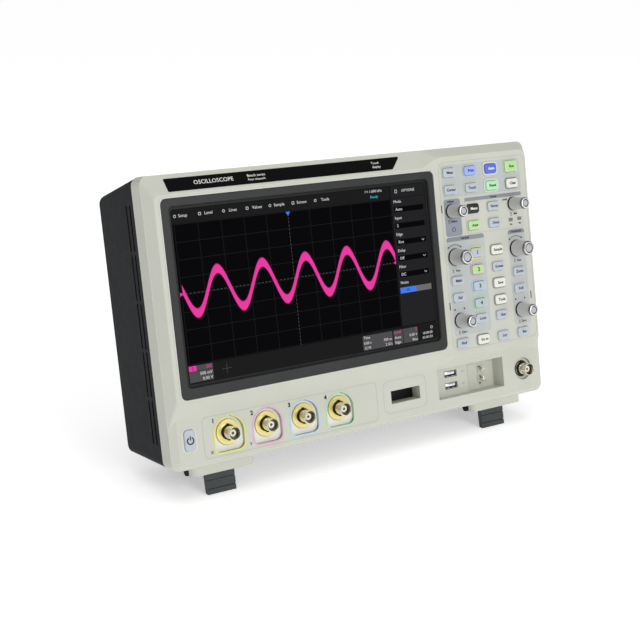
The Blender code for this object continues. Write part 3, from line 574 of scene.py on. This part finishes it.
# ---- keys ----------------------------------------------------------------------------------------------
LABELS = {
    "measure": "Meas", "cursors": "Cursor", "print": "Print", "touch": "Touch", "auto_setup": "Auto",
    "default_setup": "Reset", "run_stop": "Run", "clear_sweeps": "Clear", "trigger_setup": "Menu",
    "trigger_auto": "Auto", "trigger_normal": "Norm", "trigger_single": "Once", "channel_1": "1",
    "channel_2": "2", "channel_3": "3", "channel_4": "4", "math": "Math", "reference": "Ref",
    "digital": "Logic", "acquire": "Sample", "display": "Screen", "save_recall": "Save", "utility": "Tools",
    "generator": "Gen", "zoom": "Zoom", "roll": "Roll", "search": "Find", "navigate": "Go to",
    "history": "Log", "decode": "Bus",
}
KEY_SLOT = {part["node"]: part["material_slot"] for part in frame["record"]["subparts"]
            if part["node"].startswith("key_")}
KEY_FACE, KEY_BACK = -1.8, 3.9                     # Y of a cap's rim and of its back
LABEL_RISE = 0.13                                  # clears the crown


def panel_keys():
    for node in PANEL_KEYS:
        name = node[4:]
        x, z, w, h = key_place(node)
        slot = KEY_SLOT[node]
        add("cap_" + name, [cushion_block(x, z, w, h, KEY_FACE, KEY_BACK, KEY_CORNER, 0.55)], KEYS[slot],
            node, [node])
        dark = slot in ("key_blue", "key_black")
        size = 4.4 if name.startswith("channel_") else 3.1
        add("label_" + name, [letters([(LABELS[name], x + 0.4, z, size)], -KEY_FACE + LABEL_RISE, weight=0.03)],
            WHITE if dark else PRINT, node)
        collar = HEADER if slot == "key_white" else PALE_RING
        width = 1.5 if name in ("auto_setup", "default_setup") else 0.45
        if name.startswith("channel_"):
            collar, width = RINGS[int(name[-1]) - 1], 0.9
        add("collar_" + name, [flat([node_outline(node, 0.3 + width), node_outline(node, 0.3)], -0.1, 0.7)],
            collar, soften=0.15)


def power_key():
    x, z, w, h = key_place("key_power")
    add("cap_power", [cushion_block(x, z, w - 1.2, h - 0.4, 2.6, 10.4, 2.9, 0.7)], KEYS["key_grey"],
        "key_power", ["key_power"])
    level = (-2.5, -2.3 + 0.1)                     # from the cap's crown outwards
    symbol = [flat([arc_band(x, z, 2.5, 0.8, 120, 420, 24)], *level),
              flat([rect(x - 0.33, x + 0.33, z + 0.4, z + 3.4)], *level)]
    add("power_symbol", symbol, PRINT, "key_power")
    outer = rounded(rect(x - w / 2, x + w / 2, z - h / 2, z + h / 2, 1.0), 4.0)
    inner = rounded(rect(x - w / 2 + 0.4, x + w / 2 - 0.4, z - h / 2, z + h / 2, 0.0), 3.1)
    add("power_surround", [flat([outer, inner], -BAND_Y - 0.1, -BAND_Y + 0.12)], PALE_RING,
        soften=0.05)


# ---- knobs ---------------------------------------------------------------------------------------------
KNOB_BACK = -1.2                                   # rear of the skirt
BORE_R = 3.25                                      # hole for the plunger


def knobs():
    """Skirt, bevel, bright ring, groove and cap on each knob, and a black ring of painted shadow on the panel
    behind it; profiles (r, y).
    """
    for name, (base, nose) in KNOBS.items():
        at = KNOB_AT[name]
        body = "knob_" + name
        skirt = [(BORE_R, -13.2), (BORE_R, KNOB_BACK), (base - 0.3, KNOB_BACK), (base, KNOB_BACK - 0.3),
                 (base, -2.3), (base - 0.12, -2.7), ((base + nose) / 2 + 0.05, -4.6), (nose, -9.0),
                 (nose - 0.06, -14.4), (nose - 0.2, -14.6), (0.0, -14.6), (0.0, -13.2), (BORE_R, -13.2)]
        add(body + "_skirt", [turned(at.x, at.z, skirt)], KNOB, body, [body])
        crest, lip = nose * 0.87, nose * 0.66
        bevel = [(nose - 0.3, -14.5), (nose, -14.7), (nose, -15.0), (nose - 0.08, -15.3),
                 (crest + 0.05, -16.25), (crest - 0.3, -16.3), (crest - 0.3, -14.5), (nose - 0.3, -14.5)]
        add(body + "_bevel", [turned(at.x, at.z, bevel)], BEVEL, body)
        band = [(lip - 0.1, -15.9), (crest - 0.25, -15.9), (crest, -16.3), (crest - 0.1, -16.55),
                (crest - 0.3, -16.7), (lip + 0.3, -16.75), (lip + 0.05, -16.6), (lip - 0.1, -16.3),
                (lip - 0.1, -15.9)]
        add(body + "_ring", [turned(at.x, at.z, band)], CHROME, body)
        groove = [(0.0, -14.5), (lip - 0.05, -14.5), (lip - 0.05, -15.95), (0.0, -15.95)]
        add(body + "_groove", [turned(at.x, at.z, groove, 32)], BLACK, body)
        hub = lip - 0.75
        cap = [(0.0, -15.9), (hub, -15.9), (hub, -16.2), (hub - 0.2, -16.38), (hub * 0.5, -16.45),
               (0.0, -16.48)]
        add(body + "_cap", [turned(at.x, at.z, cap)], KNOB_CAP, body)
        # black ring on the panel round the knob's foot: a painted shadow where the knob meets the panel
        painted_shadow_ring = [(4.2, -0.05), (base + 0.35, -0.05), (base + 0.35, -0.28), (base - 0.2, -0.4), (4.2, -0.4),
               (4.2, -0.05)]
        add(body + "_seat", [turned(at.x, at.z, painted_shadow_ring)], BLACK)


# ---- coaxial connectors --------------------------------------------------------------------------------
def coaxial(name, x, flange, base_mat):
    """Flanged base with its barrel, a black ring and blobs of painted shadow at its foot, a ring of painted shade
    inside the barrel, insulator and contact; every profile is (radius, y).
    """
    seat = 6.7                                     # back of the flange
    base = [(0.0, 17.5), (1.2, 17.4), (1.2, 14.6), (5.6, 14.2), (5.9, 13.8), (5.9, seat),
            (flange - 0.2, seat), (flange, seat - 0.2), (flange, 6.15), (flange - 0.25, 5.9), (5.5, 5.8),
            (4.5, 5.7), (4.3, 5.2), (4.3, 3.9), (4.75, 3.7), (4.75, 2.9), (4.3, 2.7), (4.3, 1.3), (4.0, 1.1),
            (0.0, 1.1)]
    add(name + "_flange", [turned(x, BNC_Z, base)], base_mat, replaces=[name])
    barrel = [(3.2, 1.6), (4.6, 1.6), (4.95, 1.3), (4.95, 0.6), (4.75, 0.4), (4.75, -0.2), (4.95, -0.4),
              (4.95, -3.9), (5.1, -4.1), (5.1, -4.6), (4.95, -4.8), (4.6, -4.8), (4.45, -4.6), (4.35, 0.6),
              (3.2, 0.6), (3.2, 1.6)]
    lugs = [rod((x + side * 4.3, -1.4, BNC_Z), (x + side * 5.9, -1.4, BNC_Z), 1.0, 20) for side in (-1, 1)]
    add(name + "_barrel", [turned(x, BNC_Z, barrel)] + lugs, NICKEL)
    # black ring round the barrel's foot and blobs above and below it: painted shadow in the gap between flange and
    # barrel
    painted_shadows = [turned(x, BNC_Z, [(4.4, 5.95), (5.75, 5.95), (5.75, 5.1), (5.3, 4.9), (4.4, 4.9), (4.4, 5.95)]),
             rod((x, 4.9, BNC_Z + 4.2), (x, 4.9, BNC_Z + 6.3), 1.0, 20),
             rod((x, 4.9, BNC_Z - 6.3), (x, 4.9, BNC_Z - 4.2), 1.0, 20)]
    add(name + "_seams", painted_shadows, BLACK)
    # dark ring inside the barrel: painted shade
    shade = [(2.5, 0.62), (4.3, 0.62), (4.3, 0.3), (2.5, 0.3), (2.5, 0.62)]
    add(name + "_shade", [turned(x, BNC_Z, shade)], BARREL_SHADE)
    sleeve = [(0.0, 1.9), (3.3, 1.9), (3.3, 0.8), (2.8, 0.7), (2.65, 0.5), (2.65, -1.5), (2.45, -1.75),
              (1.25, -1.75), (1.1, -1.5), (1.1, 0.6), (0.0, 0.6)]
    add(name + "_insulator", [turned(x, BNC_Z, sleeve, 32)], WHITE)
    pin = [(0.0, 0.7), (0.95, 0.7), (0.95, -1.2), (0.75, -1.4), (0.4, -1.4), (0.35, -1.2), (0.35, 0.0),
           (0.0, 0.0)]
    add(name + "_contact", [turned(x, BNC_Z, pin, 24)], BRASS)


def connectors():
    for k, x in enumerate(BNC_X):
        coaxial("bnc_channel_%d" % (k + 1), x, 9.75, GOLD)
    coaxial("bnc_external", EXT_X, 5.9, NICKEL)
    washer = [(6.9, 6.9), (9.25, 6.9), (9.25, 6.4), (8.9, 6.2), (7.1, 6.2), (6.9, 6.4), (6.9, 6.9)]
    add("external_washer", [turned(EXT_X, BNC_Z, washer)], HOUSING)
    # black ring round the flange: a painted shadow in the gap between flange and well
    painted_shadow_ring = [(5.6, 6.95), (7.0, 6.95), (7.0, 6.5), (5.6, 6.5), (5.6, 6.95)]
    add("external_gap", [turned(EXT_X, BNC_Z, painted_shadow_ring)], BLACK)


# ---- pocket and slot -----------------------------------------------------------------------------------
USB_X, USB_Z = 84.3, (18.5, 28.4)
LUG_X, LUG_Z = 117.2, (18.6, 26.6)
POCKET_STEP = 13.2                                 # Y of the pocket's floor beside the USB sockets


def usb_socket(name, x, z, w, h, face, depth, tongue, rim_mat, rim_slot, plane_sign=1):
    """Plated shell round a mouth, with its tongue and springs; faces the front or the rear."""
    def box(x0, x1, near, far, z0, z1, radius=0.0):
        return block(x0, x1, *sorted((face + plane_sign * near, face + plane_sign * far)), z0, z1, radius)

    x0, x1, z0, z1 = x - w / 2, x + w / 2, z - h / 2, z + h / 2
    y0, y1 = sorted((face, face + plane_sign * depth))
    inner = rect(x0, x1, z0, z1, -0.35)
    add(name + "_shell", [flat([rect(x0, x1, z0, z1), inner], -y1, -y0)], STEEL,
        soften=0.08)
    plates = (("collar", 0.95, 0.3, rim_mat, rim_slot), ("rim", 0.3, 0.0, BLACK, "fan_plastic"))
    for part, outer, edge, mat, slot in plates:
        plate = flat([rect(x0, x1, z0, z1, outer), rect(x0, x1, z0, z1, edge)],
                     *sorted((-face, -face + plane_sign * 0.2)))
        add(name + "_" + part, [plate], mat)
    back = box(x0 + 0.4, x1 - 0.4, depth - 0.5, depth, z0 + 0.4, z1 - 0.4)
    add(name + "_back", [back], BLACK)
    bar = box(x0 + 0.5, x1 - 1.6, 0.4, depth, z - 0.5, z1 - 0.6, 0.1)
    add(name + "_tongue", [bar], tongue)
    springs = [box(x + s * w * 0.22 - 1.0, x + s * w * 0.22 + 1.0, 0.5, depth - 1.0, z0 + 0.35, z0 + 0.8, 0.1)
               for s in (-1, 1)]
    add(name + "_springs", springs, STEEL)


def pocket():
    for k, z in enumerate(USB_Z):
        usb_socket("usb_front_%d" % (k + 1), USB_X, z, 12.15, 4.75, 13.3, 9.5, CHROME, HOUSING,
                   "housing_plastic")
    for k, z in enumerate(LUG_Z):
        hook = [rod((LUG_X, 16.2, z + 2.0), (LUG_X, 11.4, z + 2.0), 0.55),
                rod((LUG_X, 11.4, z + 2.0), (LUG_X, 11.0, z), 0.55),
                rod((LUG_X, 11.0, z), (LUG_X + 2.4, 11.4, z - 1.6), 0.55),
                rod((LUG_X + 2.4, 11.4, z - 1.6), (LUG_X + 2.4, 16.2, z - 1.6), 0.55)]
        sleeve = rod((LUG_X, 10.9, z), (LUG_X, 16.2, z), 1.3)
        add("probe_lug_%d" % (k + 1), hook + [sleeve], NICKEL)
        seat = [rounded(rect(LUG_X - 2.6, LUG_X + 4.4, z - 3.1, z + 3.3), 0.8, 3), circle(LUG_X, z, 1.35, 24)]
        add("probe_lug_seat_%d" % (k + 1), [flat(seat, -16.0, -15.2)], HOUSING,
            soften=0.12)
    dots = [turned(x, z, [(0.0, 15.3), (0.7, 15.3), (0.7, 15.05), (0.0, 15.05)], 16)
            for x, z in ((116.0, 28.9), (116.6, 20.8), (116.2, 15.0))]
    add("probe_lug_holes", dots, BLACK)
    add("pocket_step", [block(102.2, 102.7, 12.9, 16.0, 10.4, 35.5, 0.12)], HOUSING)
    icons = []
    for z in USB_Z:
        icons += [flat([circle(96.6, z, 0.8, 16)], -POCKET_STEP, -POCKET_STEP + INK * 2),
                  flat([rect(96.6, 100.6, z - 0.15, z + 0.15)], -POCKET_STEP, -POCKET_STEP + INK * 2)]
    add("pocket_icons", icons, ENGRAVED)
    ribs = [block(17.4, 45.2, 14.2, 15.3, z - 0.3, z + 0.3, 0.1) for z in (17.6, 19.3, 21.0, 22.7, 24.4)]
    add("slot_block", [block(17.3, 45.3, 15.2, 16.3, 16.0, 26.1, 0.1)] + ribs, BLACK)


# ---- display -------------------------------------------------------------------------------------------
LIT_X, LIT_Z = -156.5, 62.3                        # lower left corner of the lit area
LIT_W, LIT_H = 222.7, 125.3
GLASS_Y = 2.7                                      # front of the glass
PLOT = (1.5, 189.0, 14.0, 114.8)                   # u0, u1, v0, v1 of the grid
GRID_HALF = 0.11                                   # half the width of a grid line
WAVE_MID, WAVE_SWING = 65.1, 15.0                  # middle and swing of the trace
WAVE_PERIOD, WAVE_PEAK = 37.4, 31.7                # length of a period, and where a peak is
WAVE_HALF, WAVE_EDGE = 3.7, 0.65                   # half height of the band, and of its deeper edge
WAVE_STEPS = 260
SCREEN = Matrix.Translation((LIT_X, GLASS_Y, LIT_Z)) @ FACE
ICON = (0.18, 0.21)                                # heights of an icon


def layer_height(layer):
    return 0.02 + 0.04 * layer


def lit(name, loops_list, mat, layer):
    """Shapes of the display, in millimetres from the lit area's lower left corner."""
    low = layer_height(layer)
    add(name, [flat(loops, low, low + 0.03, SCREEN) for loops in loops_list], mat)


def words(name, rows, mat, layer=4):
    add(name, [letters(rows, layer_height(layer), SCREEN, 0.0)], mat)


def display():
    lit("ui_base", [[rounded(rect(0.0, LIT_W, 0.0, LIT_H), 0.6, 2)]], UI_FIELD, 0)
    lit("ui_bars", [[rect(0.0, 189.2, 115.2, LIT_H)], [rect(0.0, LIT_W, 0.0, 13.4)]], UI_BAR, 1)
    lit("ui_side", [[rect(189.8, LIT_W, 13.8, LIT_H)]], UI_PANEL, 1)
    u0, u1, v0, v1 = PLOT
    cols = [u0 + (u1 - u0) * k / 10 for k in range(11)]
    levels = [v0 + (v1 - v0) * k / 8 for k in range(9)]
    grid = [[rect(u - GRID_HALF, u + GRID_HALF, v0, v1)] for u in cols]
    grid += [[rect(u0, u1, v - GRID_HALF, v + GRID_HALF)] for v in levels]
    lit("ui_grid", grid, UI_GRID, 1)
    dashes = [[rect(u0 + (u1 - u0) * k / 60, u0 + (u1 - u0) * k / 60 + 1.7, WAVE_MID - 0.14, WAVE_MID + 0.14)]
              for k in range(60)]
    middle = (u0 + u1) / 2
    dashes += [[rect(middle - 0.12, middle + 0.12, v0 + (v1 - v0) * k / 36, v0 + (v1 - v0) * k / 36 + 1.5)]
               for k in range(36)]
    lit("ui_dashes", dashes, UI_DASH, 2)

    bands = (("ui_trace_edge", WAVE_HALF, UI_DEEP_PINK, 2), ("ui_trace", WAVE_HALF - WAVE_EDGE, UI_PINK, 3))
    for name, half, mat, layer in bands:
        upper, lower = [], []
        for k in range(WAVE_STEPS + 1):
            u = u0 + 0.8 + (u1 - u0 - 0.8) * k / WAVE_STEPS
            v = WAVE_MID + WAVE_SWING * math.cos(2 * math.pi * (u - WAVE_PEAK) / WAVE_PERIOD)
            upper.append((u, v + half))
            lower.append((u, v - half))
        lit(name, [[upper + lower[::-1]]], mat, layer)
    lit("ui_markers", [[[(0.2, WAVE_MID - 1.5), (2.8, WAVE_MID), (0.2, WAVE_MID + 1.5)]],
                       [[(189.0, WAVE_MID - 1.4), (186.8, WAVE_MID), (189.0, WAVE_MID + 1.4)]],
                       [rect(0.4, 6.6, 8.9, 12.8)]], UI_PINK, 3)
    lit("ui_pointer", [[[(middle - 1.9, v1), (middle, v1 - 3.0), (middle + 1.9, v1)]]], UI_BLUE, 3)

    fields = [(52.8 + 12.9 * k, 57.0 + 12.9 * k) for k in (4, 3, 2, 1, 0)]
    lit("ui_fields", [[rect(191.6, 220.4, low, high)] for low, high in fields], UI_FIELD, 2)
    lit("ui_boxes", [[rect(0.4, 19.7, 0.8, 8.6)], [rect(6.9, 19.7, 8.9, 12.8)],
                     [rect(151.0, 179.3, 0.3, 11.8)], [rect(180.5, 204.0, 0.3, 11.8)]], UI_BOX, 2)
    lit("ui_toggle_off", [[rect(206.5, 221.5, 40.0, 44.6)]], UI_OFF, 2)
    lit("ui_plus_box", [[rect(22.3, 39.5, 0.8, 13.0)]], UI_BAR, 2)
    lit("ui_plus", [[rect(27.0, 34.8, 6.8, 7.0)], [rect(30.8, 31.0, 3.2, 10.6)]], UI_DASH, 3)
    lit("ui_toggle", [[rect(191.0, 206.5, 40.0, 44.6)]], UI_BLUE, 3)
    lit("ui_rules", [[rect(189.2, 189.8, 0.0, LIT_H)], [rect(189.8, LIT_W, 115.4, 115.7)],
                     [rect(189.8, LIT_W, 13.4, 13.8)]], UI_FIELD, 2)

    menu = [("Setup", 9.0), ("Level", 29.5), ("Lines", 49.5), ("Values", 69.7), ("Sample", 88.5),
            ("Screen", 108.1), ("Tools", 129.0)]
    rows = [(word, u, 120.8, 3.2) for word, u in menu]
    rows += [("f = 1.000 kHz", 173.7, 122.7, 2.9), ("OPTIONS", 206.6, 120.8, 3.0)]
    names = ["Mode", "Input", "Edge", "Delay", "Filter"]
    values = ["Auto", "2", "Rise", "Off", "DC"]
    for (low, high), name, value in zip(fields, names, values):
        rows += [(name, 191.8, high + 4.0, 3.2, "LEFT"), (value, 193.2, (low + high) / 2, 3.2, "LEFT")]
    rows += [("Noise", 191.8, 48.4, 3.2, "LEFT"), ("500 mV", 19.0, 6.5, 3.2, "RIGHT"),
             ("0.00 V", 19.0, 2.6, 3.2, "RIGHT"), ("Time", 151.8, 10.1, 3.0, "LEFT"),
             ("0.00 s", 151.8, 5.9, 3.0, "LEFT"), ("500 us", 178.6, 5.9, 3.0, "RIGHT"),
             ("12 M", 151.8, 2.0, 3.0, "LEFT"), ("2 G/s", 178.6, 2.0, 3.0, "RIGHT"),
             ("Auto", 181.3, 5.9, 3.0, "LEFT"), ("0.00 V", 203.4, 5.9, 3.0, "RIGHT"),
             ("Edge", 181.3, 2.0, 3.0, "LEFT"), ("Rise", 203.4, 2.0, 3.0, "RIGHT"),
             ("10:00:00", 213.6, 5.4, 2.9), ("01/01/01", 213.6, 1.9, 2.9)]
    words("ui_words", rows, UI_WHITE)
    words("ui_words_cyan", [("Ready", 174.0, 118.4, 3.0)], UI_CYAN)
    words("ui_words_pink", [("Level", 181.3, 10.1, 3.0, "LEFT"), ("2", 203.4, 10.1, 3.0, "RIGHT"),
                            ("DC", 19.0, 10.8, 3.0, "RIGHT")], UI_PINK)
    words("ui_words_dark", [("2", 3.5, 10.8, 3.2), ("On", 198.8, 42.3, 3.0)], UI_FIELD, 5)
    shapes = [lambda u, g: circle(u, 120.8, 0.9 + g, 14),
              lambda u, g: rounded(rect(u - 0.9, u + 0.9, 119.9, 121.7, g), 0.3, 2)]
    icons = [ring(lambda g, u=u, at=shapes[k % 2]: at(u, g), 0.35, *ICON, SCREEN)
             for k, u in enumerate((2.6, 22.4, 41.8, 61.3, 80.6, 100.5, 120.2))]
    icons.append(ring(lambda g: rounded(rect(194.0, 195.8, 119.6, 121.9, g), 0.3, 2), 0.3, *ICON, SCREEN))
    icons.append(ring(lambda g: circle(218.0, 9.4, 1.0 + g, 14), 0.3, *ICON, SCREEN))
    for low, high in fields[2:]:
        v = (low + high) / 2
        chevron = [(216.0, v + 0.8), (217.3, v - 0.5), (218.6, v + 0.8), (218.6, v + 0.4), (217.3, v - 0.9),
                   (216.0, v + 0.4)]
        icons.append(flat([chevron], *ICON, SCREEN))
    add("ui_icons", icons, UI_WHITE)
    border = ring(lambda g: rounded(rect(-157.9, 67.6, 60.9, 189.0, g), 2.0), 2.0, -2.68, -2.55)
    add("bezel_inner", [border], BLACK)


# ---- rear and top --------------------------------------------------------------------------------------
SCREW_AT = [(x, z) for x in (-160.0, 160.0) for z in (16.0, 186.0)]
AUX_AT = (60.0, 18.0)                              # axis of the rear coaxial outlet
TOP_TAPER = 0.158                                  # fall of the top for one of depth, from the handle back


def rear_fittings():
    heads = [turned(x, z, [(0.0, 91.4), (2.9, 91.4), (2.9, 91.7), (2.4, 92.2), (0.0, 92.3)], 24)
             for x, z in SCREW_AT]
    add("rear_screws", heads, STEEL, soften=0.1)
    crosses = [block(x - a, x + a, 92.05, 92.36, z - b, z + b) for x, z in SCREW_AT
               for a, b in ((1.5, 0.3), (0.3, 1.5))]
    add("rear_screw_slots", crosses, BLACK)
    pins = [block(x - 0.7, x + 0.7, 82.0, 89.5, z - 2.2, z + 2.2, 0.2) for x, z in
            ((-142.0, 53.2), (-129.6, 53.2), (-135.8, 58.8))]
    add("inlet_pins", pins, STEEL)
    rim = flat([rounded(rect(-149.6, -122.0, 45.8, 65.8), 2.0),
                rounded(rect(-147.8, -123.8, 47.8, 63.8), 1.5)], -91.45, -90.6)
    add("inlet_rim", [rim], BLACK, soften=0.2)
    lan = [flat([rect(-28.0, -12.0, 9.8, 23.0), rect(-27.2, -12.8, 10.7, 22.1)], -91.35, -81.0)]
    add("network_shell", lan, STEEL)
    contacts = [block(-23.6 + 1.02 * k, -23.2 + 1.02 * k, 81.5, 88.0, 20.6, 21.2) for k in range(8)]
    add("network_contacts", contacts, GOLD)
    usb_socket("usb_rear", 34.0, 12.0, 12.3, 4.3, 91.3, 9.0, BLACK, STEEL, "cage_steel", -1)
    square = [flat([rect(2.4, 13.6, 10.1, 20.3), rect(2.8, 13.2, 10.7, 19.7)], -91.3, -82.0)]
    add("usb_device_shell", square, STEEL)
    backs = [block(-27.1, -12.9, 80.1, 81.2, 10.8, 22.0), block(2.7, 13.3, 80.1, 81.2, 10.6, 19.8)]
    add("socket_backs", backs, BLACK)
    labels = [("LAN", 20.0, 26.6, 3.2), ("USB", -8.0, 24.0, 3.2), ("USB", -34.0, 18.2, 3.2),
              ("AUX OUT", -60.0, 27.4, 3.2), ("MAINS", 135.8, 70.4, 3.2)]
    add("rear_words", [letters(labels, 0.02, REAR, 0.0)], PALE_RING)
    outlet = [(0.0, 92.1), (3.95, 92.1), (3.95, 98.7), (3.8, 98.7), (3.7, 98.5), (3.7, 92.6), (0.0, 92.6)]
    add("rear_bnc_lining", [turned(*AUX_AT, outlet)], STEEL)
    sleeve = [(0.0, 92.4), (2.6, 92.4), (2.6, 96.6), (2.4, 96.9), (0.9, 96.9), (0.8, 96.0), (0.0, 96.0)]
    add("rear_bnc_insulator", [turned(*AUX_AT, sleeve, 24)], WHITE)
    add("usb_device_tongue", [block(5.2, 10.8, 82.0, 89.5, 13.8, 17.0, 0.2)], BLACK)
    barrel = [(4.0, 91.6), (4.9, 91.6), (4.9, 93.0), (4.7, 93.3), (4.7, 94.0), (4.85, 94.3), (4.85, 98.4),
              (4.6, 98.9), (4.1, 98.9), (4.0, 98.6), (4.0, 91.6)]
    add("rear_bnc", [turned(*AUX_AT, barrel)], NICKEL)
    add("rear_plate", [flat([rounded(rect(-40.0, 30.0, 40.0, 70.0), 2.0)], -0.1, 0.15, REAR)], STEEL)
    pivot = INVERSE @ Vector(JOINTS["raise_handle"]["pos_m"])
    tilt = Matrix.Translation(pivot) @ Matrix.Rotation(-math.atan(TOP_TAPER), 4, "X")
    ribs = []
    for k in range(9):
        x = -48.0 + 12.0 * k
        rib = block(x - 3.6, x + 3.6, 27.5, 34.5, 3.7, 4.5, 0.3)
        rib.transform(tilt)
        ribs.append(rib)
    add("grip_ribs", ribs, HANDLE, "handle")


housing_trim()
panel_graphics()
panel_keys()
power_key()
knobs()
connectors()
pocket()
display()
rear_fittings()


# ---- floor, light and camera: metres, watts and degrees ------------------------------------------------
FLOOR_SIZE, FLOOR_LEVEL = 60.0, -0.0002            # a hair under the feet
FLOOR_GLOW = 0.48                                  # lifts the paper to the photo's white
SKY_ENERGY, SKY_ANGLE, SKY_LEAN = 0.6, 52.0, (8.0, -6.0)
WORLD_STRENGTH = 0.41


def studio():
    bpy.ops.mesh.primitive_plane_add(size=FLOOR_SIZE, location=(0.0, 0.0, FLOOR_LEVEL))
    floor = bpy.context.object
    floor.name = "floor"
    paper = surface("floor_paper", srgb(246, 246, 246), 0.9, grain=0.05, grain_size=4.0, tint=0.002,
                    spread=0.03, glow=FLOOR_GLOW, shine=0.1)
    floor.data.materials.append(paper)

    def lamp(name, place, size, power):
        data = bpy.data.lights.new(name, "AREA")
        data.shape = "DISK"
        data.size = size
        data.energy = power
        obj = bpy.data.objects.new(name, data)
        obj.location = place
        obj.rotation_euler = (Vector((0.0, 0.0, 0.1)) - Vector(place)).to_track_quat("-Z", "Y").to_euler()
        bpy.context.scene.collection.objects.link(obj)

    lamp("key_light", (0.2, -2.5, 1.0), 1.2, 27.5)
    lamp("back_light", (0.3, 2.2, 1.6), 1.6, 5.0)
    sky = bpy.data.lights.new("sky_light", "SUN")
    sky.energy = SKY_ENERGY
    sky.angle = math.radians(SKY_ANGLE)
    overhead = bpy.data.objects.new("sky_light", sky)
    overhead.rotation_euler = (math.radians(SKY_LEAN[0]), math.radians(SKY_LEAN[1]), 0.0)
    bpy.context.scene.collection.objects.link(overhead)
    world = bpy.data.worlds.new("studio")
    world.use_nodes = True
    background = world.node_tree.nodes["Background"]
    background.inputs["Color"].default_value = (1.0, 1.0, 1.0, 1.0)
    background.inputs["Strength"].default_value = WORLD_STRENGTH
    bpy.context.scene.world = world
    bpy.context.scene.view_settings.view_transform = "Standard"


CAMERA_AT = Vector((-0.5314, -0.8145, 0.3779))
CAMERA_AZIMUTH, CAMERA_ELEVATION = math.radians(32.31), math.radians(15.77)
CAMERA_LENS = 70.12


def camera():
    data = bpy.data.cameras.new("camera")
    data.sensor_width = 36.0
    data.lens = CAMERA_LENS
    data.clip_start = 0.01
    obj = bpy.data.objects.new("camera", data)
    obj.location = CAMERA_AT
    obj.rotation_euler = (math.pi / 2 - CAMERA_ELEVATION, 0.0, -CAMERA_AZIMUTH)
    bpy.context.scene.collection.objects.link(obj)
    bpy.context.scene.camera = obj


studio()
camera()
